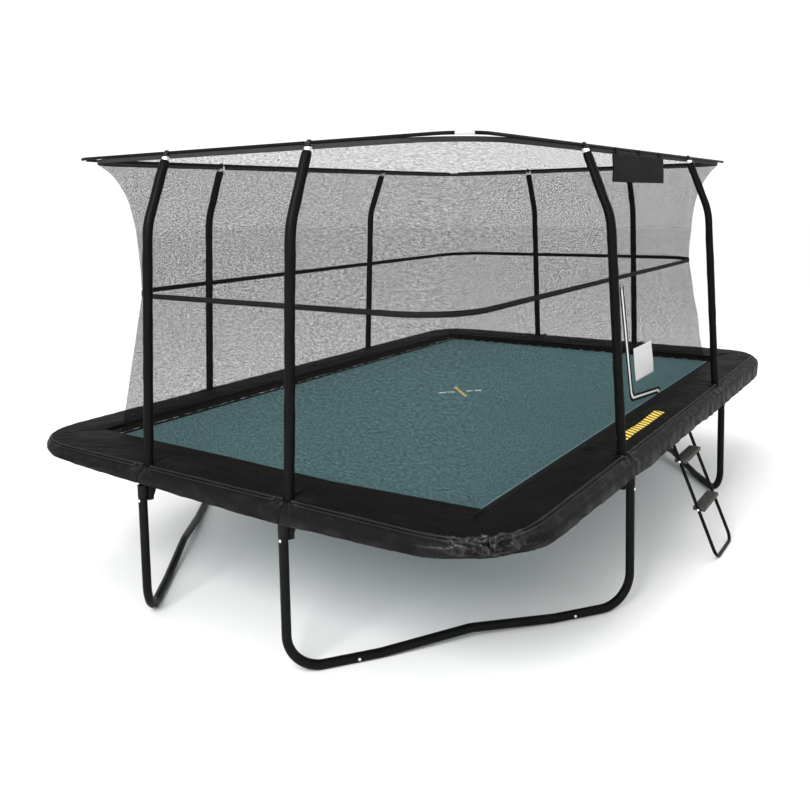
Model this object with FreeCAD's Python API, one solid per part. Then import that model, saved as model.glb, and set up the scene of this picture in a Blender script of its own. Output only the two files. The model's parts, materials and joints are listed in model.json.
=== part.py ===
import FreeCAD, Part
import math
import os

# Rectangular garden trampoline with net enclosure and ladder. Millimetres, +Z up, floor at z = 0.
# X runs along the long side, -Y is the door and ladder side, and the origin is under the mat's middle.

V = FreeCAD.Vector
Z_AXIS = V(0, 0, 1)

# Frame
frame_half_length = 2545
frame_half_width = 1635
rail_height = 850
tube_radius = 25
tube_wall = 2
rail_bend_radius = 200
rail_elbow_arm = 340
spigot_length = 80
spigot_clearance = 0.3
spigot_wall = 2

# Where the eight legs and poles stand, measured from the middle of each side
station_on_long_side = 1068
station_on_short_side = 535

# Legs
leg_outset = 115
leg_top_drop = 50
leg_bend_radius = 190
leg_foot_run = 410
leg_middle_rise = 40
leg_flat_end = 80
leg_middle_bend_radius = 400

# Poles
pole_outset = 65
pole_radius = 19
pole_wall = 1.8
pole_foot_drop = 145
pole_lean_rise = 15
pole_bend_drop = 417
pole_bend_inset = 72
ring_height = 2677
ring_inset = 169
pole_lean_radius = 600
pole_bend_radius = 500
pole_end_gap = 22
sleeve_radius = 27.5
sleeve_rise = 40
sleeve_top_gap = 80
cap_radius = 17
cap_collar_length = 10
cap_plug_length = 30

# Brackets that hold a rail, a pole and a leg
saddle_length = 120
saddle_wall = 4
socket_wall = 3
socket_top_drop = 5
collar_wall = 1.6
collar_drop = 115
web_thickness = 8
fit_clearance = 0.3

# Top ring
rod_radius = 6
ring_corner_radius = 200
ring_elbow_arm = 60
ring_elbow_wall = 2
rod_engagement = 45

# Net enclosure. The waist is where the band draws the net in, measured from the rails' axes.
net_thickness = 3
hem_height = 48
hem_notch = 76
notch_below_hem = 25
waist_height = 1810
waist_inset_at_ends = 340
waist_inset_at_sides = 375
waist_corner_radius = 350
net_foot_inset_at_ends = 93
net_foot_inset_at_sides = 53
net_foot_corner_radius = 65
band_height = 32
band_thickness = 2
band_clearance = 0.5

# How the net draws in from the ring to the waist: share of the way down, share of the way in, corner radius
net_drape = [(0.0, 0.0, 200), (0.04, 0.13, 480), (0.21, 0.45, 500), (0.42, 0.71, 460), (0.70, 0.89, 400)]

# Door in the front net
zip_top_x = 118
zip_corner_x = 148
zip_end_x = 740
zip_top_below_waist = 64
zip_above_net_foot = 43
zip_tape_width = 30
zip_tape_thickness = 1.5
zip_corner_radius = 60
slider_size = (16, 26, 7)
pull_size = (9, 45, 2)
card_size = (410, 240)
card_middle_x = 465
card_above_mat = 305
card_thickness = 1.2
board_half_length = 517
board_middle_x = -118
board_drop = 207
board_top_gap = 30
board_thickness = 4
board_loop_width = 40

# Jumping mat and its edge
mat_thickness = 2
edge_thickness = 4
edge_clearance = 0.5
spring_span = 190
spring_pitch = 112
spring_radius = 11
spring_body_share = 0.8
hook_radius = 2.2
ring_plate_length = 22
ring_plate_width = 26
ring_plate_thickness = 3
spring_end_margin = 95
mat_field_inset = 25

# Safety pad with its skirt
pad_edge_thickness = 17
pad_crown_thickness = 29
pad_outset = 90
pad_inner_gap = 15
pad_section_gap = 4
pad_pole_clearance = 3.5
pad_edge_roll = 10
skirt_drop = 104
skirt_outset = 150
skirt_shoulder = 146
skirt_thickness = 3.5
skirt_fold_spacing = 150
skirt_fold_depth = 3

# Ladder
ladder_middle_x = 40
ladder_half_width = 190
ladder_tube_radius = 11
ladder_tube_wall = 1.5
ladder_foot_outset = 385
ladder_top_outset = 47
ladder_top_drop = 4
ladder_corner_radius = 60
ladder_hook_wall = 3
ladder_hook_width = 28
step_heights = (620, 315)
step_depth = 76
step_height = 24
step_wall = 2.5

# Fasteners
bolt_head_radius = 8
bolt_head_height = 5
bolt_radius = 4
bolt_grip = 12
leg_bolt_drop = 138

# Sizes that follow from the ones above
mat_height = rail_height
mat_half_length = frame_half_length - tube_radius - spring_span - ring_plate_length
mat_half_width = frame_half_width - tube_radius - spring_span - ring_plate_length
ring_half_length = frame_half_length - ring_inset
ring_half_width = frame_half_width - ring_inset
waist_half_length = frame_half_length - waist_inset_at_ends
waist_half_width = frame_half_width - waist_inset_at_sides
net_foot_half_length = mat_half_length - net_foot_inset_at_ends
net_foot_half_width = mat_half_width - net_foot_inset_at_sides
net_foot_height = mat_height + edge_thickness / 2 + fit_clearance
hem_top = ring_height - rod_radius - ring_elbow_wall - 2 * fit_clearance
hem_bottom = hem_top - hem_height
waist_slope = math.atan2(net_foot_half_width - waist_half_width, waist_height - net_foot_height)
zip_top_height = waist_height - zip_top_below_waist
zip_bottom_height = net_foot_height + zip_above_net_foot
leg_top = rail_height - leg_top_drop
pole_foot = rail_height - pole_foot_drop
pole_lean_start = rail_height + pole_lean_rise
pole_bend_height = ring_height - pole_bend_drop
socket_top = rail_height - socket_top_drop
collar_bottom = rail_height - collar_drop
pad_bottom = rail_height + tube_radius + saddle_wall + fit_clearance
pad_edge_height = pad_bottom + pad_edge_thickness
pad_crown = pad_bottom + pad_crown_thickness
pad_inner_half_length = net_foot_half_length + pad_inner_gap
pad_inner_half_width = net_foot_half_width + pad_inner_gap
skirt_bottom = pad_bottom - skirt_drop
ladder_top_height = rail_height - ladder_top_drop
leg_bolt_height = rail_height - leg_bolt_drop

CORNERS = {
    "left_front": (-1, -1),
    "right_front": (1, -1),
    "right_back": (1, 1),
    "left_back": (-1, 1),
}

# Each station stands on a rail: name, place on the rail's axis, and the turn that points +X outwards
STATIONS = [
    ("left_front", (-frame_half_length, -station_on_short_side), 180),
    ("left_back", (-frame_half_length, station_on_short_side), 180),
    ("front_left", (-station_on_long_side, -frame_half_width), 270),
    ("front_right", (station_on_long_side, -frame_half_width), 270),
    ("right_front", (frame_half_length, -station_on_short_side), 0),
    ("right_back", (frame_half_length, station_on_short_side), 0),
    ("back_right", (station_on_long_side, frame_half_width), 90),
    ("back_left", (-station_on_long_side, frame_half_width), 90),
]

# Each side of the rectangle: half its length, its distance from the middle, and its outward turn
SIDES = {
    "right": (frame_half_width, frame_half_length, 0),
    "back": (frame_half_length, frame_half_width, 90),
    "left": (frame_half_width, frame_half_length, 180),
    "front": (frame_half_length, frame_half_width, 270),
}

parts = {}


def add(name, *solids):
    """Keep one or more solids as the sub-part of that name."""
    parts[name] = solids[0] if len(solids) == 1 else Part.makeCompound(list(solids))


def rounded_path(points, radii):
    """A wire through points, with a tangent arc of the given radius at each inner point."""
    edges = []
    start = points[0]
    for before, corner, after, radius in zip(points, points[1:], points[2:], radii):
        into = (corner - before).normalize()
        out = (after - corner).normalize()
        turn = into.getAngle(out)
        reach = radius * math.tan(turn / 2)
        first = corner - into * reach
        last = corner + out * reach
        inward = (out - into).normalize()
        centre = corner + inward * (radius / math.cos(turn / 2))
        middle = centre - inward * radius
        edges.append(Part.LineSegment(start, first).toShape())
        edges.append(Part.Arc(first, middle, last).toShape())
        start = last
    edges.append(Part.LineSegment(start, points[-1]).toShape())
    return Part.Wire(edges)


def swept_rod(path, radius):
    """A round bar along a wire."""
    start = path.Edges[0]
    direction = start.tangentAt(start.FirstParameter)
    circle = Part.Wire([Part.makeCircle(radius, start.valueAt(start.FirstParameter), direction)])
    return path.makePipeShell([circle], True, False)


def tube(points, radii, radius, wall):
    """A hollow round tube along straight runs joined by tangent arcs."""
    path = rounded_path(points, radii)
    return swept_rod(path, radius).cut(swept_rod(path, radius - wall))


def rod_between(start, end, radius):
    """A straight round bar from one point to another."""
    return Part.makeCylinder(radius, (end - start).Length, start, end - start)


def pipe_between(start, end, radius, wall):
    """A straight hollow tube from one point to another."""
    return rod_between(start, end, radius).cut(rod_between(start, end, radius - wall))


def box_between(low, high):
    """A box from its lowest corner to its highest corner."""
    return Part.makeBox(high[0] - low[0], high[1] - low[1], high[2] - low[2], V(*low))


def placed(shape, place, turn):
    """A copy turned about Z by turn degrees, then moved to place."""
    moved = shape.copy()
    moved.rotate(V(0, 0, 0), Z_AXIS, turn)
    moved.translate(V(place[0], place[1], 0))
    return moved


def extruded(points, start, end):
    """A straight bar along Y with the outline points (x, z)."""
    corners = [V(x, start, z) for x, z in points]
    face = Part.Face(Part.makePolygon(corners + corners[:1]))
    return face.extrude(V(0, end - start, 0))


def rail_elbow(sign_x, sign_y):
    """One bent corner of the top frame with a thinner spigot at each end."""
    corner = V(sign_x * frame_half_length, sign_y * frame_half_width, rail_height)
    along_x = V(-sign_x, 0, 0)
    along_y = V(0, -sign_y, 0)
    first = corner + along_x * rail_elbow_arm
    last = corner + along_y * rail_elbow_arm
    elbow = tube([first, corner, last], [rail_bend_radius], tube_radius, tube_wall)
    spigot_radius = tube_radius - tube_wall - spigot_clearance
    for end, direction in ((first, along_x), (last, along_y)):
        spigot = pipe_between(
            end - direction * spigot_length, end + direction * spigot_length, spigot_radius, spigot_wall
        )
        ring = pipe_between(
            end - direction * spigot_length, end - direction, tube_radius - tube_wall / 2, 2 * tube_wall
        )
        elbow = elbow.fuse([spigot, ring])
    return elbow.removeSplitter()


def straight_rail(half_length, distance, turn, pieces):
    """The straight tubes of one side, joined end to end."""
    reach = half_length - rail_elbow_arm
    step = 2 * reach / pieces
    tubes = []
    for i in range(pieces):
        start = V(distance, -reach + i * step, rail_height)
        end = V(distance, -reach + (i + 1) * step, rail_height)
        tubes.append(placed(pipe_between(start, end, tube_radius, tube_wall), (0, 0), turn))
    return tubes


def rail_coupler(distance, turn):
    """The inner sleeve that joins the two tubes of a long side."""
    start = V(distance, -spigot_length, rail_height)
    end = V(distance, spigot_length, rail_height)
    radius = tube_radius - tube_wall - spigot_clearance
    return placed(pipe_between(start, end, radius, spigot_wall), (0, 0), turn)


def bracket():
    """Saddle round the rail, socket for the pole and collar for the leg, on one upright web."""
    saddle_radius = tube_radius + saddle_wall
    socket_radius = pole_radius + socket_wall
    collar_radius = tube_radius + collar_wall
    half = saddle_length / 2
    saddle = rod_between(V(0, -half, rail_height), V(0, half, rail_height), saddle_radius)
    socket = rod_between(V(pole_outset, 0, pole_foot - socket_wall), V(pole_outset, 0, socket_top), socket_radius)
    collar = rod_between(V(leg_outset, 0, collar_bottom), V(leg_outset, 0, leg_top), collar_radius)
    web = box_between(
        (0, -web_thickness / 2, collar_bottom),
        (leg_outset, web_thickness / 2, rail_height),
    )
    gusset = box_between(
        (0, -web_thickness / 2, pole_foot),
        (pole_outset, web_thickness / 2, rail_height),
    )
    slope = extruded([(0, pole_foot - 1), (0, collar_bottom + 60), (pole_outset - socket_radius, pole_foot - 1)],
                     -web_thickness, web_thickness)
    top_trim = extruded([(leg_outset + 30, leg_top), (leg_outset + 30, rail_height + 30),
                         (pole_outset, rail_height + 30), (pole_outset, rail_height)],
                        -web_thickness, web_thickness)
    body = saddle.fuse([socket, collar, web.fuse(gusset).cut(slope).cut(top_trim)])
    rail_bore = rod_between(
        V(0, -half - 1, rail_height), V(0, half + 1, rail_height), tube_radius + fit_clearance
    )
    pole_bore = rod_between(
        V(pole_outset, 0, pole_foot), V(pole_outset, 0, rail_height + 1), pole_radius + fit_clearance
    )
    leg_bore = rod_between(
        V(leg_outset, 0, collar_bottom - 40), V(leg_outset, 0, leg_top + 1), tube_radius + fit_clearance
    )
    return body.cut([rail_bore, pole_bore, leg_bore]).removeSplitter()


def pole_points():
    """The pole's line in its station: straight foot, slight lean, then the bend to the ring."""
    top = V(-ring_inset, 0, ring_height)
    bend = V(-(pole_bend_inset - pole_outset), 0, pole_bend_height)
    end = top - (top - bend).normalize() * pole_end_gap
    return [V(pole_outset, 0, pole_foot), V(pole_outset, 0, pole_lean_start), bend, end]


def pole():
    """A steel pole from its socket to just under the top ring."""
    return tube(pole_points(), [pole_lean_radius, pole_bend_radius], pole_radius, pole_wall)


def pole_sleeve():
    """The foam sleeve round a pole, from the pad to below the ring."""
    foot, lean, bend, end = pole_points()
    start = lean + (bend - lean).normalize() * (sleeve_rise - pole_lean_rise)
    finish = end - (end - bend).normalize() * (sleeve_top_gap - pole_end_gap)
    path = rounded_path([start, bend, finish], [pole_bend_radius])
    inner = pole_radius + fit_clearance
    return swept_rod(path, sleeve_radius).cut(swept_rod(path, inner))


def pole_cap():
    """The end cap on a pole, bored crossways for the ring's rods."""
    foot, lean, bend, end = pole_points()
    up = (end - bend).normalize()
    centre = V(-ring_inset, 0, ring_height)
    ball = Part.makeSphere(cap_radius, centre)
    collar = rod_between(end + up * fit_clearance, end + up * cap_collar_length, pole_radius)
    plug = rod_between(end - up * cap_plug_length, end + up * cap_collar_length, pole_radius - pole_wall - fit_clearance)
    bore = rod_between(centre - V(0, 2 * cap_radius, 0), centre + V(0, 2 * cap_radius, 0), rod_radius + fit_clearance)
    return ball.fuse([collar, plug]).cut(bore).removeSplitter()


def leg_feet(corner):
    """The two leg lines of a corner, on the short side and on the long side."""
    sign_x, sign_y = CORNERS[corner]
    short = V(sign_x * (frame_half_length + leg_outset), sign_y * station_on_short_side, 0)
    long = V(sign_x * station_on_long_side, sign_y * (frame_half_width + leg_outset), 0)
    return short, long


def leg_upright(stand, other):
    """An upright that bends at the floor and runs towards the corner's other leg."""
    towards = (other - stand).normalize()
    foot = stand + Z_AXIS * tube_radius
    end = foot + towards * leg_foot_run
    leg = tube([stand + Z_AXIS * leg_top, foot, end], [leg_bend_radius], tube_radius, tube_wall)
    return leg


def leg_base(stand, other):
    """The floor tube between two uprights, slightly raised in the middle, with a spigot at each end."""
    towards = (other - stand).normalize()
    length = (other - stand).Length
    low = stand + Z_AXIS * tube_radius
    stops = [leg_foot_run, leg_foot_run + leg_flat_end, length / 2]
    stops += [length - leg_foot_run - leg_flat_end, length - leg_foot_run]
    rises = [0, 0, leg_middle_rise, 0, 0]
    points = [low + towards * s + Z_AXIS * rise for s, rise in zip(stops, rises)]
    base = tube(points, [leg_middle_bend_radius] * 3, tube_radius, tube_wall)
    spigot_radius = tube_radius - tube_wall - spigot_clearance
    half = leg_flat_end * 0.6
    for end, direction in ((points[0], towards * -1), (points[-1], towards)):
        spigot = pipe_between(end - direction * half, end + direction * spigot_length, spigot_radius, spigot_wall)
        collar = pipe_between(end - direction * half, end - direction, tube_radius - tube_wall / 2, 2 * tube_wall)
        base = base.fuse([spigot, collar])
    return base.removeSplitter()


def bolt(head_point, inward):
    """A domed bolt whose head rests at head_point and whose shank points inward."""
    dome_radius = (bolt_head_radius ** 2 + bolt_head_height ** 2) / (2 * bolt_head_height)
    ball = Part.makeSphere(dome_radius, head_point + inward * (dome_radius - bolt_head_height))
    slice_start = head_point - inward * (bolt_head_height + 1)
    head = ball.common(rod_between(slice_start, head_point, bolt_head_radius + 1))
    shank = rod_between(head_point - inward, head_point + inward * bolt_grip, bolt_radius)
    return head.fuse(shank).removeSplitter()


def bolt_hole(head_point, inward):
    """The hole that a bolt passes."""
    return rod_between(head_point - inward * 5, head_point + inward * (bolt_grip + 2), bolt_radius + fit_clearance)


def strip_wire(z, half_length, half_width, corner_radius, thickness):
    """The closed outline at height z of a wall that runs along +Y on the +X side and ends on both corners' diagonals."""
    outer = corner_radius
    inner = corner_radius - thickness
    centre_x = half_length - corner_radius
    centre_y = half_width - corner_radius
    half_turn = math.radians(44.9)

    def on_arc(radius, side, angle):
        return V(centre_x + radius * math.cos(angle), side * (centre_y + radius * math.sin(angle)), z)

    def arc(radius, side, first, last):
        middle = (first + last) / 2
        return Part.Arc(on_arc(radius, side, first), on_arc(radius, side, middle), on_arc(radius, side, last)).toShape()

    edges = [
        arc(outer, -1, half_turn, 0),
        Part.LineSegment(on_arc(outer, -1, 0), on_arc(outer, 1, 0)).toShape(),
        arc(outer, 1, 0, half_turn),
        Part.LineSegment(on_arc(outer, 1, half_turn), on_arc(inner, 1, half_turn)).toShape(),
        arc(inner, 1, half_turn, 0),
        Part.LineSegment(on_arc(inner, 1, 0), on_arc(inner, -1, 0)).toShape(),
        arc(inner, -1, 0, half_turn),
        Part.LineSegment(on_arc(inner, -1, half_turn), on_arc(outer, -1, half_turn)).toShape(),
    ]
    return Part.Wire(edges)


def wall_strip(levels, along_length, turn, thickness):
    """A thin wall on one side of the rounded rectangle, through outlines at several heights."""
    wires = []
    for z, half_length, half_width, radius in levels:
        across, along = (half_length, half_width) if along_length == "short" else (half_width, half_length)
        wires.append(strip_wire(z, across, along, radius, thickness))
    return placed(Part.makeLoft(wires, True, True), (0, 0), turn)


def net_levels():
    """Heights of the net with its half length, half width and corner radius there."""
    top = hem_bottom - fit_clearance
    levels = []
    for down, drawn, radius in net_drape:
        z = top + (waist_height - top) * down
        half_length = ring_half_length + (waist_half_length - ring_half_length) * drawn
        half_width = ring_half_width + (waist_half_width - ring_half_width) * drawn
        levels.append((z, half_length, half_width, radius))
    levels.append((waist_height, waist_half_length, waist_half_width, waist_corner_radius))
    levels.append((net_foot_height, net_foot_half_length, net_foot_half_width, net_foot_corner_radius))
    return levels


def corner_spread():
    """How far the net's corner moves out for each millimetre below the waist, along the diagonal."""
    longer = net_foot_half_length - waist_half_length
    wider = net_foot_half_width - waist_half_width
    sharper = waist_corner_radius - net_foot_corner_radius
    out = (longer + wider) / math.sqrt(2) + sharper * (math.sqrt(2) - 1)
    return out / (waist_height - net_foot_height)


def closed_band(half_length, half_width, radius, thickness, low, high):
    """A thin upright band round a rounded rectangle."""
    def block(grow):
        arcs = []
        for start_angle, sx, sy in ((0, 1, 1), (90, -1, 1), (180, -1, -1), (270, 1, -1)):
            centre = V(sx * (half_length - radius), sy * (half_width - radius), low)
            turns = [math.radians(start_angle + a) for a in (0, 45, 90)]
            arcs.append([centre + V(math.cos(a), math.sin(a), 0) * (radius + grow) for a in turns])
        loop = []
        for points, after in zip(arcs, arcs[1:] + arcs[:1]):
            loop.append(Part.Arc(*points).toShape())
            loop.append(Part.LineSegment(points[-1], after[0]).toShape())
        return Part.Face(Part.Wire(loop)).extrude(V(0, 0, high - low))

    return block(0).cut(block(-thickness))


def on_front_net(x, z, stand_off):
    """A point outside the lower front net: x along it, z up it, stand_off out from it."""
    depth = waist_half_width + (waist_height - z) * math.tan(waist_slope)
    return V(x, -depth - stand_off * math.cos(waist_slope), z - stand_off * math.sin(waist_slope))


def plate_on_front_net(outline, stand_off, thickness):
    """A thin plate that lies on the lower front net, from an outline of (x, z) points."""
    points = [on_front_net(x, z, stand_off) for x, z in outline]
    face = Part.Face(Part.makePolygon(points + points[:1]))
    outward = V(0, -math.cos(waist_slope), -math.sin(waist_slope))
    return face.extrude(outward * thickness)


def zip_line():
    """The zip's corner points, from its top down and along the bottom."""
    return [(zip_top_x, zip_top_height), (zip_corner_x, zip_bottom_height), (zip_end_x, zip_bottom_height)]


def door_zip():
    """The L-shaped tape with a rounded corner, as one outline offset to both sides of its line."""
    (x0, z0), (x1, z1), (x2, z2) = zip_line()
    half = zip_tape_width / 2
    down = V(x1 - x0, 0, z1 - z0).normalize()
    out = V(down.z * -1, 0, down.x)
    turn = math.acos(down.x)
    reach = zip_corner_radius * math.tan(turn / 2)
    start_angle = math.atan2(-out.z, -out.x)
    centre = V(x1, 0, z1) - down * reach + out * zip_corner_radius
    left = []
    right = []
    steps = 8
    for i in range(steps + 1):
        angle = start_angle + turn * i / steps
        spoke = V(math.cos(angle), 0, math.sin(angle))
        left.append(centre + spoke * (zip_corner_radius + half))
        right.append(centre + spoke * (zip_corner_radius - half))
    left = [V(x0, 0, z0) - out * half] + left + [V(x2, 0, z2 - half)]
    right = [V(x0, 0, z0) + out * half] + right + [V(x2, 0, z2 + half)]
    outline = [(p.x, p.z) for p in left + right[::-1]]
    return plate_on_front_net(outline, fit_clearance, zip_tape_thickness)


def zip_slider():
    """The zip's slider with its pull tab, at the top of the zip."""
    (x0, z0), (x1, z1), _ = zip_line()
    width, height, depth = slider_size
    pull_width, pull_length, pull_depth = pull_size
    stand_off = fit_clearance * 2 + zip_tape_thickness
    down = V(x1 - x0, 0, z1 - z0).normalize()
    side = V(-down.z, 0, down.x)

    def outline(first, last, breadth):
        points = []
        for along, across in ((first, -1), (last, -1), (last, 1), (first, 1)):
            point = V(x0, 0, z0) + down * along + side * (across * breadth / 2)
            points.append((point.x, point.z))
        return points

    body = plate_on_front_net(outline(0, height, width), stand_off, depth)
    pull = plate_on_front_net(outline(height * 0.6, height * 0.6 + pull_length, pull_width), stand_off + depth / 2, pull_depth)
    return body.fuse(pull).removeSplitter()


def door_card():
    """The blank card on the door."""
    width, height = card_size
    x = card_middle_x
    z = mat_height + card_above_mat
    outline = [(x - width / 2, z - height / 2), (x + width / 2, z - height / 2),
               (x + width / 2, z + height / 2), (x - width / 2, z + height / 2)]
    return plate_on_front_net(outline, fit_clearance * 2, card_thickness)


def board_loop_places():
    """Where along the front of the ring the board's loops hang."""
    reach = board_half_length - board_loop_width * 2
    return [board_middle_x - reach, board_middle_x, board_middle_x + reach]


def ring_board():
    """The plain board that hangs from the front of the ring on three loops."""
    y = -ring_half_width
    outer = rod_radius + board_thickness
    low = ring_height - board_drop
    board_top = ring_height - board_top_gap
    board = box_between(
        (board_middle_x - board_half_length, y - outer, low),
        (board_middle_x + board_half_length, y - outer + board_thickness / 2, board_top),
    )
    for x in board_loop_places():
        start = V(x - board_loop_width / 2, y, ring_height)
        end = V(x + board_loop_width / 2, y, ring_height)
        loop = pipe_between(start, end, outer, board_thickness - fit_clearance)
        strap = box_between(
            (start.x, y - outer, board_top - board_loop_width / 2),
            (end.x, y - outer + board_thickness / 2, ring_height),
        )
        board = board.fuse([loop, strap])
    return board.removeSplitter()


def spring_places(half_length, side):
    """Places along one side where springs hook on, moved aside where a ladder hook needs the room."""
    reach = half_length - spring_end_margin
    count = int(2 * reach // spring_pitch) + 1
    first = -(count - 1) * spring_pitch / 2
    places = [first + i * spring_pitch for i in range(count)]
    if side != "front":
        return places
    room = ladder_hook_width / 2 + spring_radius + 2 * fit_clearance
    for hook in (ladder_middle_x - ladder_half_width, ladder_middle_x + ladder_half_width):
        for i, place in enumerate(places):
            if abs(place - hook) < ladder_hook_width / 2 + hook_radius + fit_clearance:
                places[i] = hook + math.copysign(room, place - hook)
    return places


def spring(along, distance, station):
    """One closed extension spring with its two straight hooks, from a mat ring to the rail or its saddle."""
    ring_end = distance - tube_radius - spring_span
    rail_end = distance - tube_radius - fit_clearance
    if abs(abs(along) - station) < saddle_length / 2 + hook_radius + fit_clearance:
        rail_end -= saddle_wall
    body_length = spring_span * spring_body_share
    body_start = ring_end + (spring_span - body_length) / 2
    body = rod_between(V(body_start, along, mat_height), V(body_start + body_length, along, mat_height), spring_radius)
    hook = rod_between(V(ring_end, along, mat_height), V(rail_end, along, mat_height), hook_radius)
    return body.fuse(hook).removeSplitter()


def ring_plate(along, distance):
    """The small triangular ring between the mat's edge and a spring."""
    tip = distance - tube_radius - spring_span
    root = tip - ring_plate_length
    half = ring_plate_width / 2
    low = mat_height - ring_plate_thickness / 2
    points = [V(root, along - half, low), V(root, along + half, low), V(tip, along + 3, low), V(tip, along - 3, low)]
    plate = Part.Face(Part.makePolygon(points + points[:1])).extrude(V(0, 0, ring_plate_thickness))
    window = [V(root + 4, along - half + 6, low - 1), V(root + 4, along + half - 6, low - 1), V(tip - 6, along, low - 1)]
    return plate.cut(Part.Face(Part.makePolygon(window + window[:1])).extrude(V(0, 0, 2 * ring_plate_thickness)))


def edge_strip(half_length, outer, inner, inner_half_length, turn):
    """One mitred side of the webbing edge that the rings and the net are sewn to."""
    low = mat_height - edge_thickness / 2
    points = [V(inner, -inner_half_length, low), V(outer, -half_length, low),
              V(outer, half_length, low), V(inner, inner_half_length, low)]
    strip = Part.Face(Part.makePolygon(points + points[:1])).extrude(V(0, 0, edge_thickness))
    return placed(strip, (0, 0), turn)


def jump_mat():
    """The jumping surface inside its webbing edge."""
    half_length = net_foot_half_length - mat_field_inset - edge_clearance
    half_width = net_foot_half_width - mat_field_inset - edge_clearance
    low = mat_height - mat_thickness / 2
    return box_between((-half_length, -half_width, low), (half_length, half_width, low + mat_thickness))


def pad_outline(distance, inner, along, sway):
    """Cross-section of a pad and its skirt at a place along the side; sway moves the skirt's lower edge out."""
    def point(x, z):
        return V(distance + x, along, z)

    roll = pad_edge_roll
    bottom = [point(inner + roll, pad_bottom), point(pad_outset - 8, pad_bottom)]
    skirt = [
        point(skirt_shoulder - skirt_thickness, pad_bottom - 20),
        point(skirt_outset + sway, skirt_bottom),
        point(skirt_outset + sway + skirt_thickness, skirt_bottom),
        point(skirt_shoulder + 1, pad_bottom - 12),
        point(pad_outset, pad_edge_height - 3),
        point(pad_outset - roll, pad_edge_height + 5),
    ]
    top_inner = point(inner + roll, pad_edge_height + 2)
    crown_middle = point((inner + pad_outset) / 2, pad_crown)
    points = bottom + skirt
    edges = [Part.LineSegment(a, b).toShape() for a, b in zip(points, points[1:])]
    edges.append(Part.Arc(points[-1], crown_middle, top_inner).toShape())
    nose = point(inner, (pad_bottom + pad_edge_height + 2) / 2)
    edges.append(Part.Arc(top_inner, nose, bottom[0]).toShape())
    return Part.Wire(edges)


def pad_side(side):
    """The pad sections of one side: mitred at the corners and parted at the poles, with their skirt."""
    half_length, distance, turn = SIDES[side]
    short_side = side in ("left", "right")
    inner_half = pad_inner_half_length if short_side else pad_inner_half_width
    inner_run = pad_inner_half_width if short_side else pad_inner_half_length
    station = station_on_short_side if short_side else station_on_long_side
    straight_run = half_length - rail_bend_radius
    folds = math.ceil(straight_run / skirt_fold_spacing)
    wires = []
    for i in range(-folds, folds + 1):
        sway = skirt_fold_depth if i % 2 else -skirt_fold_depth
        wires.append(pad_outline(distance, inner_half - distance, i * skirt_fold_spacing, sway))
    bar = Part.makeLoft(wires, True, True)
    low = skirt_bottom - 10
    high = pad_crown + 10
    gap = pad_section_gap / 4
    far = distance + skirt_outset + 40
    near = inner_half - 40
    turn_x = distance - rail_bend_radius
    slope = (straight_run - inner_run) / (turn_x - inner_half)

    def mitre_y(x):
        return inner_run + (x - inner_half) * slope - gap

    corners = [V(near, mitre_y(near), low), V(turn_x, mitre_y(turn_x), low), V(far, mitre_y(turn_x), low)]
    corners += [V(p.x, -p.y, low) for p in corners[::-1]]
    bar = bar.common(Part.Face(Part.makePolygon(corners + corners[:1])).extrude(V(0, 0, high - low)))
    bends = []
    outer = Part.Face(pad_outline(distance, inner_half - distance, 0, 0))
    outer = outer.common(box_between((turn_x, -1, low), (far, 1, high)))
    for sign in (-1, 1):
        face = outer.copy()
        face.translate(V(0, sign * mitre_y(turn_x), 0))
        axis_point = V(turn_x, sign * mitre_y(turn_x), 0)
        bends.append(face.revolve(axis_point, Z_AXIS, sign * 44.9))
    bar = bar.fuse(bends)
    cuts = []
    for sign in (-1, 1):
        y = sign * station
        cuts.append(box_between((near, y - pad_section_gap / 2, low), (far, y + pad_section_gap / 2, high)))
        hole_foot = V(distance + pole_outset, y, pad_bottom - 15)
        cuts.append(rod_between(hole_foot, hole_foot + Z_AXIS * 60, sleeve_radius + pad_pole_clearance))
    sections = bar.cut(cuts).Solids
    return [placed(section, (0, 0), turn) for section in sections]


def ladder_line(share):
    """A point on the ladder's sloping middle line, from the floor bar (0) to its top (1)."""
    foot = V(0, -frame_half_width - ladder_foot_outset, ladder_tube_radius)
    top = V(0, -frame_half_width - ladder_top_outset, ladder_top_height)
    return foot + (top - foot) * share


def ladder_share(z):
    """How far up the ladder's line a height is."""
    return (z - ladder_tube_radius) / (ladder_top_height - ladder_tube_radius)


def ladder_frame():
    """The ladder's one bent tube with a hook for the rail welded to each end."""
    sides = [V(ladder_middle_x + sign * ladder_half_width, 0, 0) for sign in (-1, 1)]
    points = [sides[0] + ladder_line(1), sides[0] + ladder_line(0), sides[1] + ladder_line(0), sides[1] + ladder_line(1)]
    frame = tube(points, [ladder_corner_radius] * 2, ladder_tube_radius, ladder_tube_wall)
    inner = tube_radius + fit_clearance
    outer = inner + ladder_hook_wall
    for side in sides:
        start = V(side.x - ladder_hook_width / 2, -frame_half_width, rail_height)
        end = V(side.x + ladder_hook_width / 2, -frame_half_width, rail_height)
        ring = rod_between(start, end, outer)
        opening = box_between(
            (start.x - 1, -frame_half_width - outer - 1, rail_height - outer - 1),
            (end.x + 1, -frame_half_width + outer + 1, rail_height - 6),
        )
        tab = box_between(
            (side.x - 6, -frame_half_width - ladder_top_outset - 2, rail_height - 5),
            (side.x + 6, -frame_half_width - inner - 1, rail_height + 6),
        )
        cap = rod_between(side + ladder_line(0.985), side + ladder_line(1.0), ladder_tube_radius)
        bore = rod_between(start - V(1, 0, 0), end + V(1, 0, 0), inner)
        frame = frame.fuse([ring.cut(opening), tab, cap]).cut(bore)
    return frame.removeSplitter()


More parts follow.
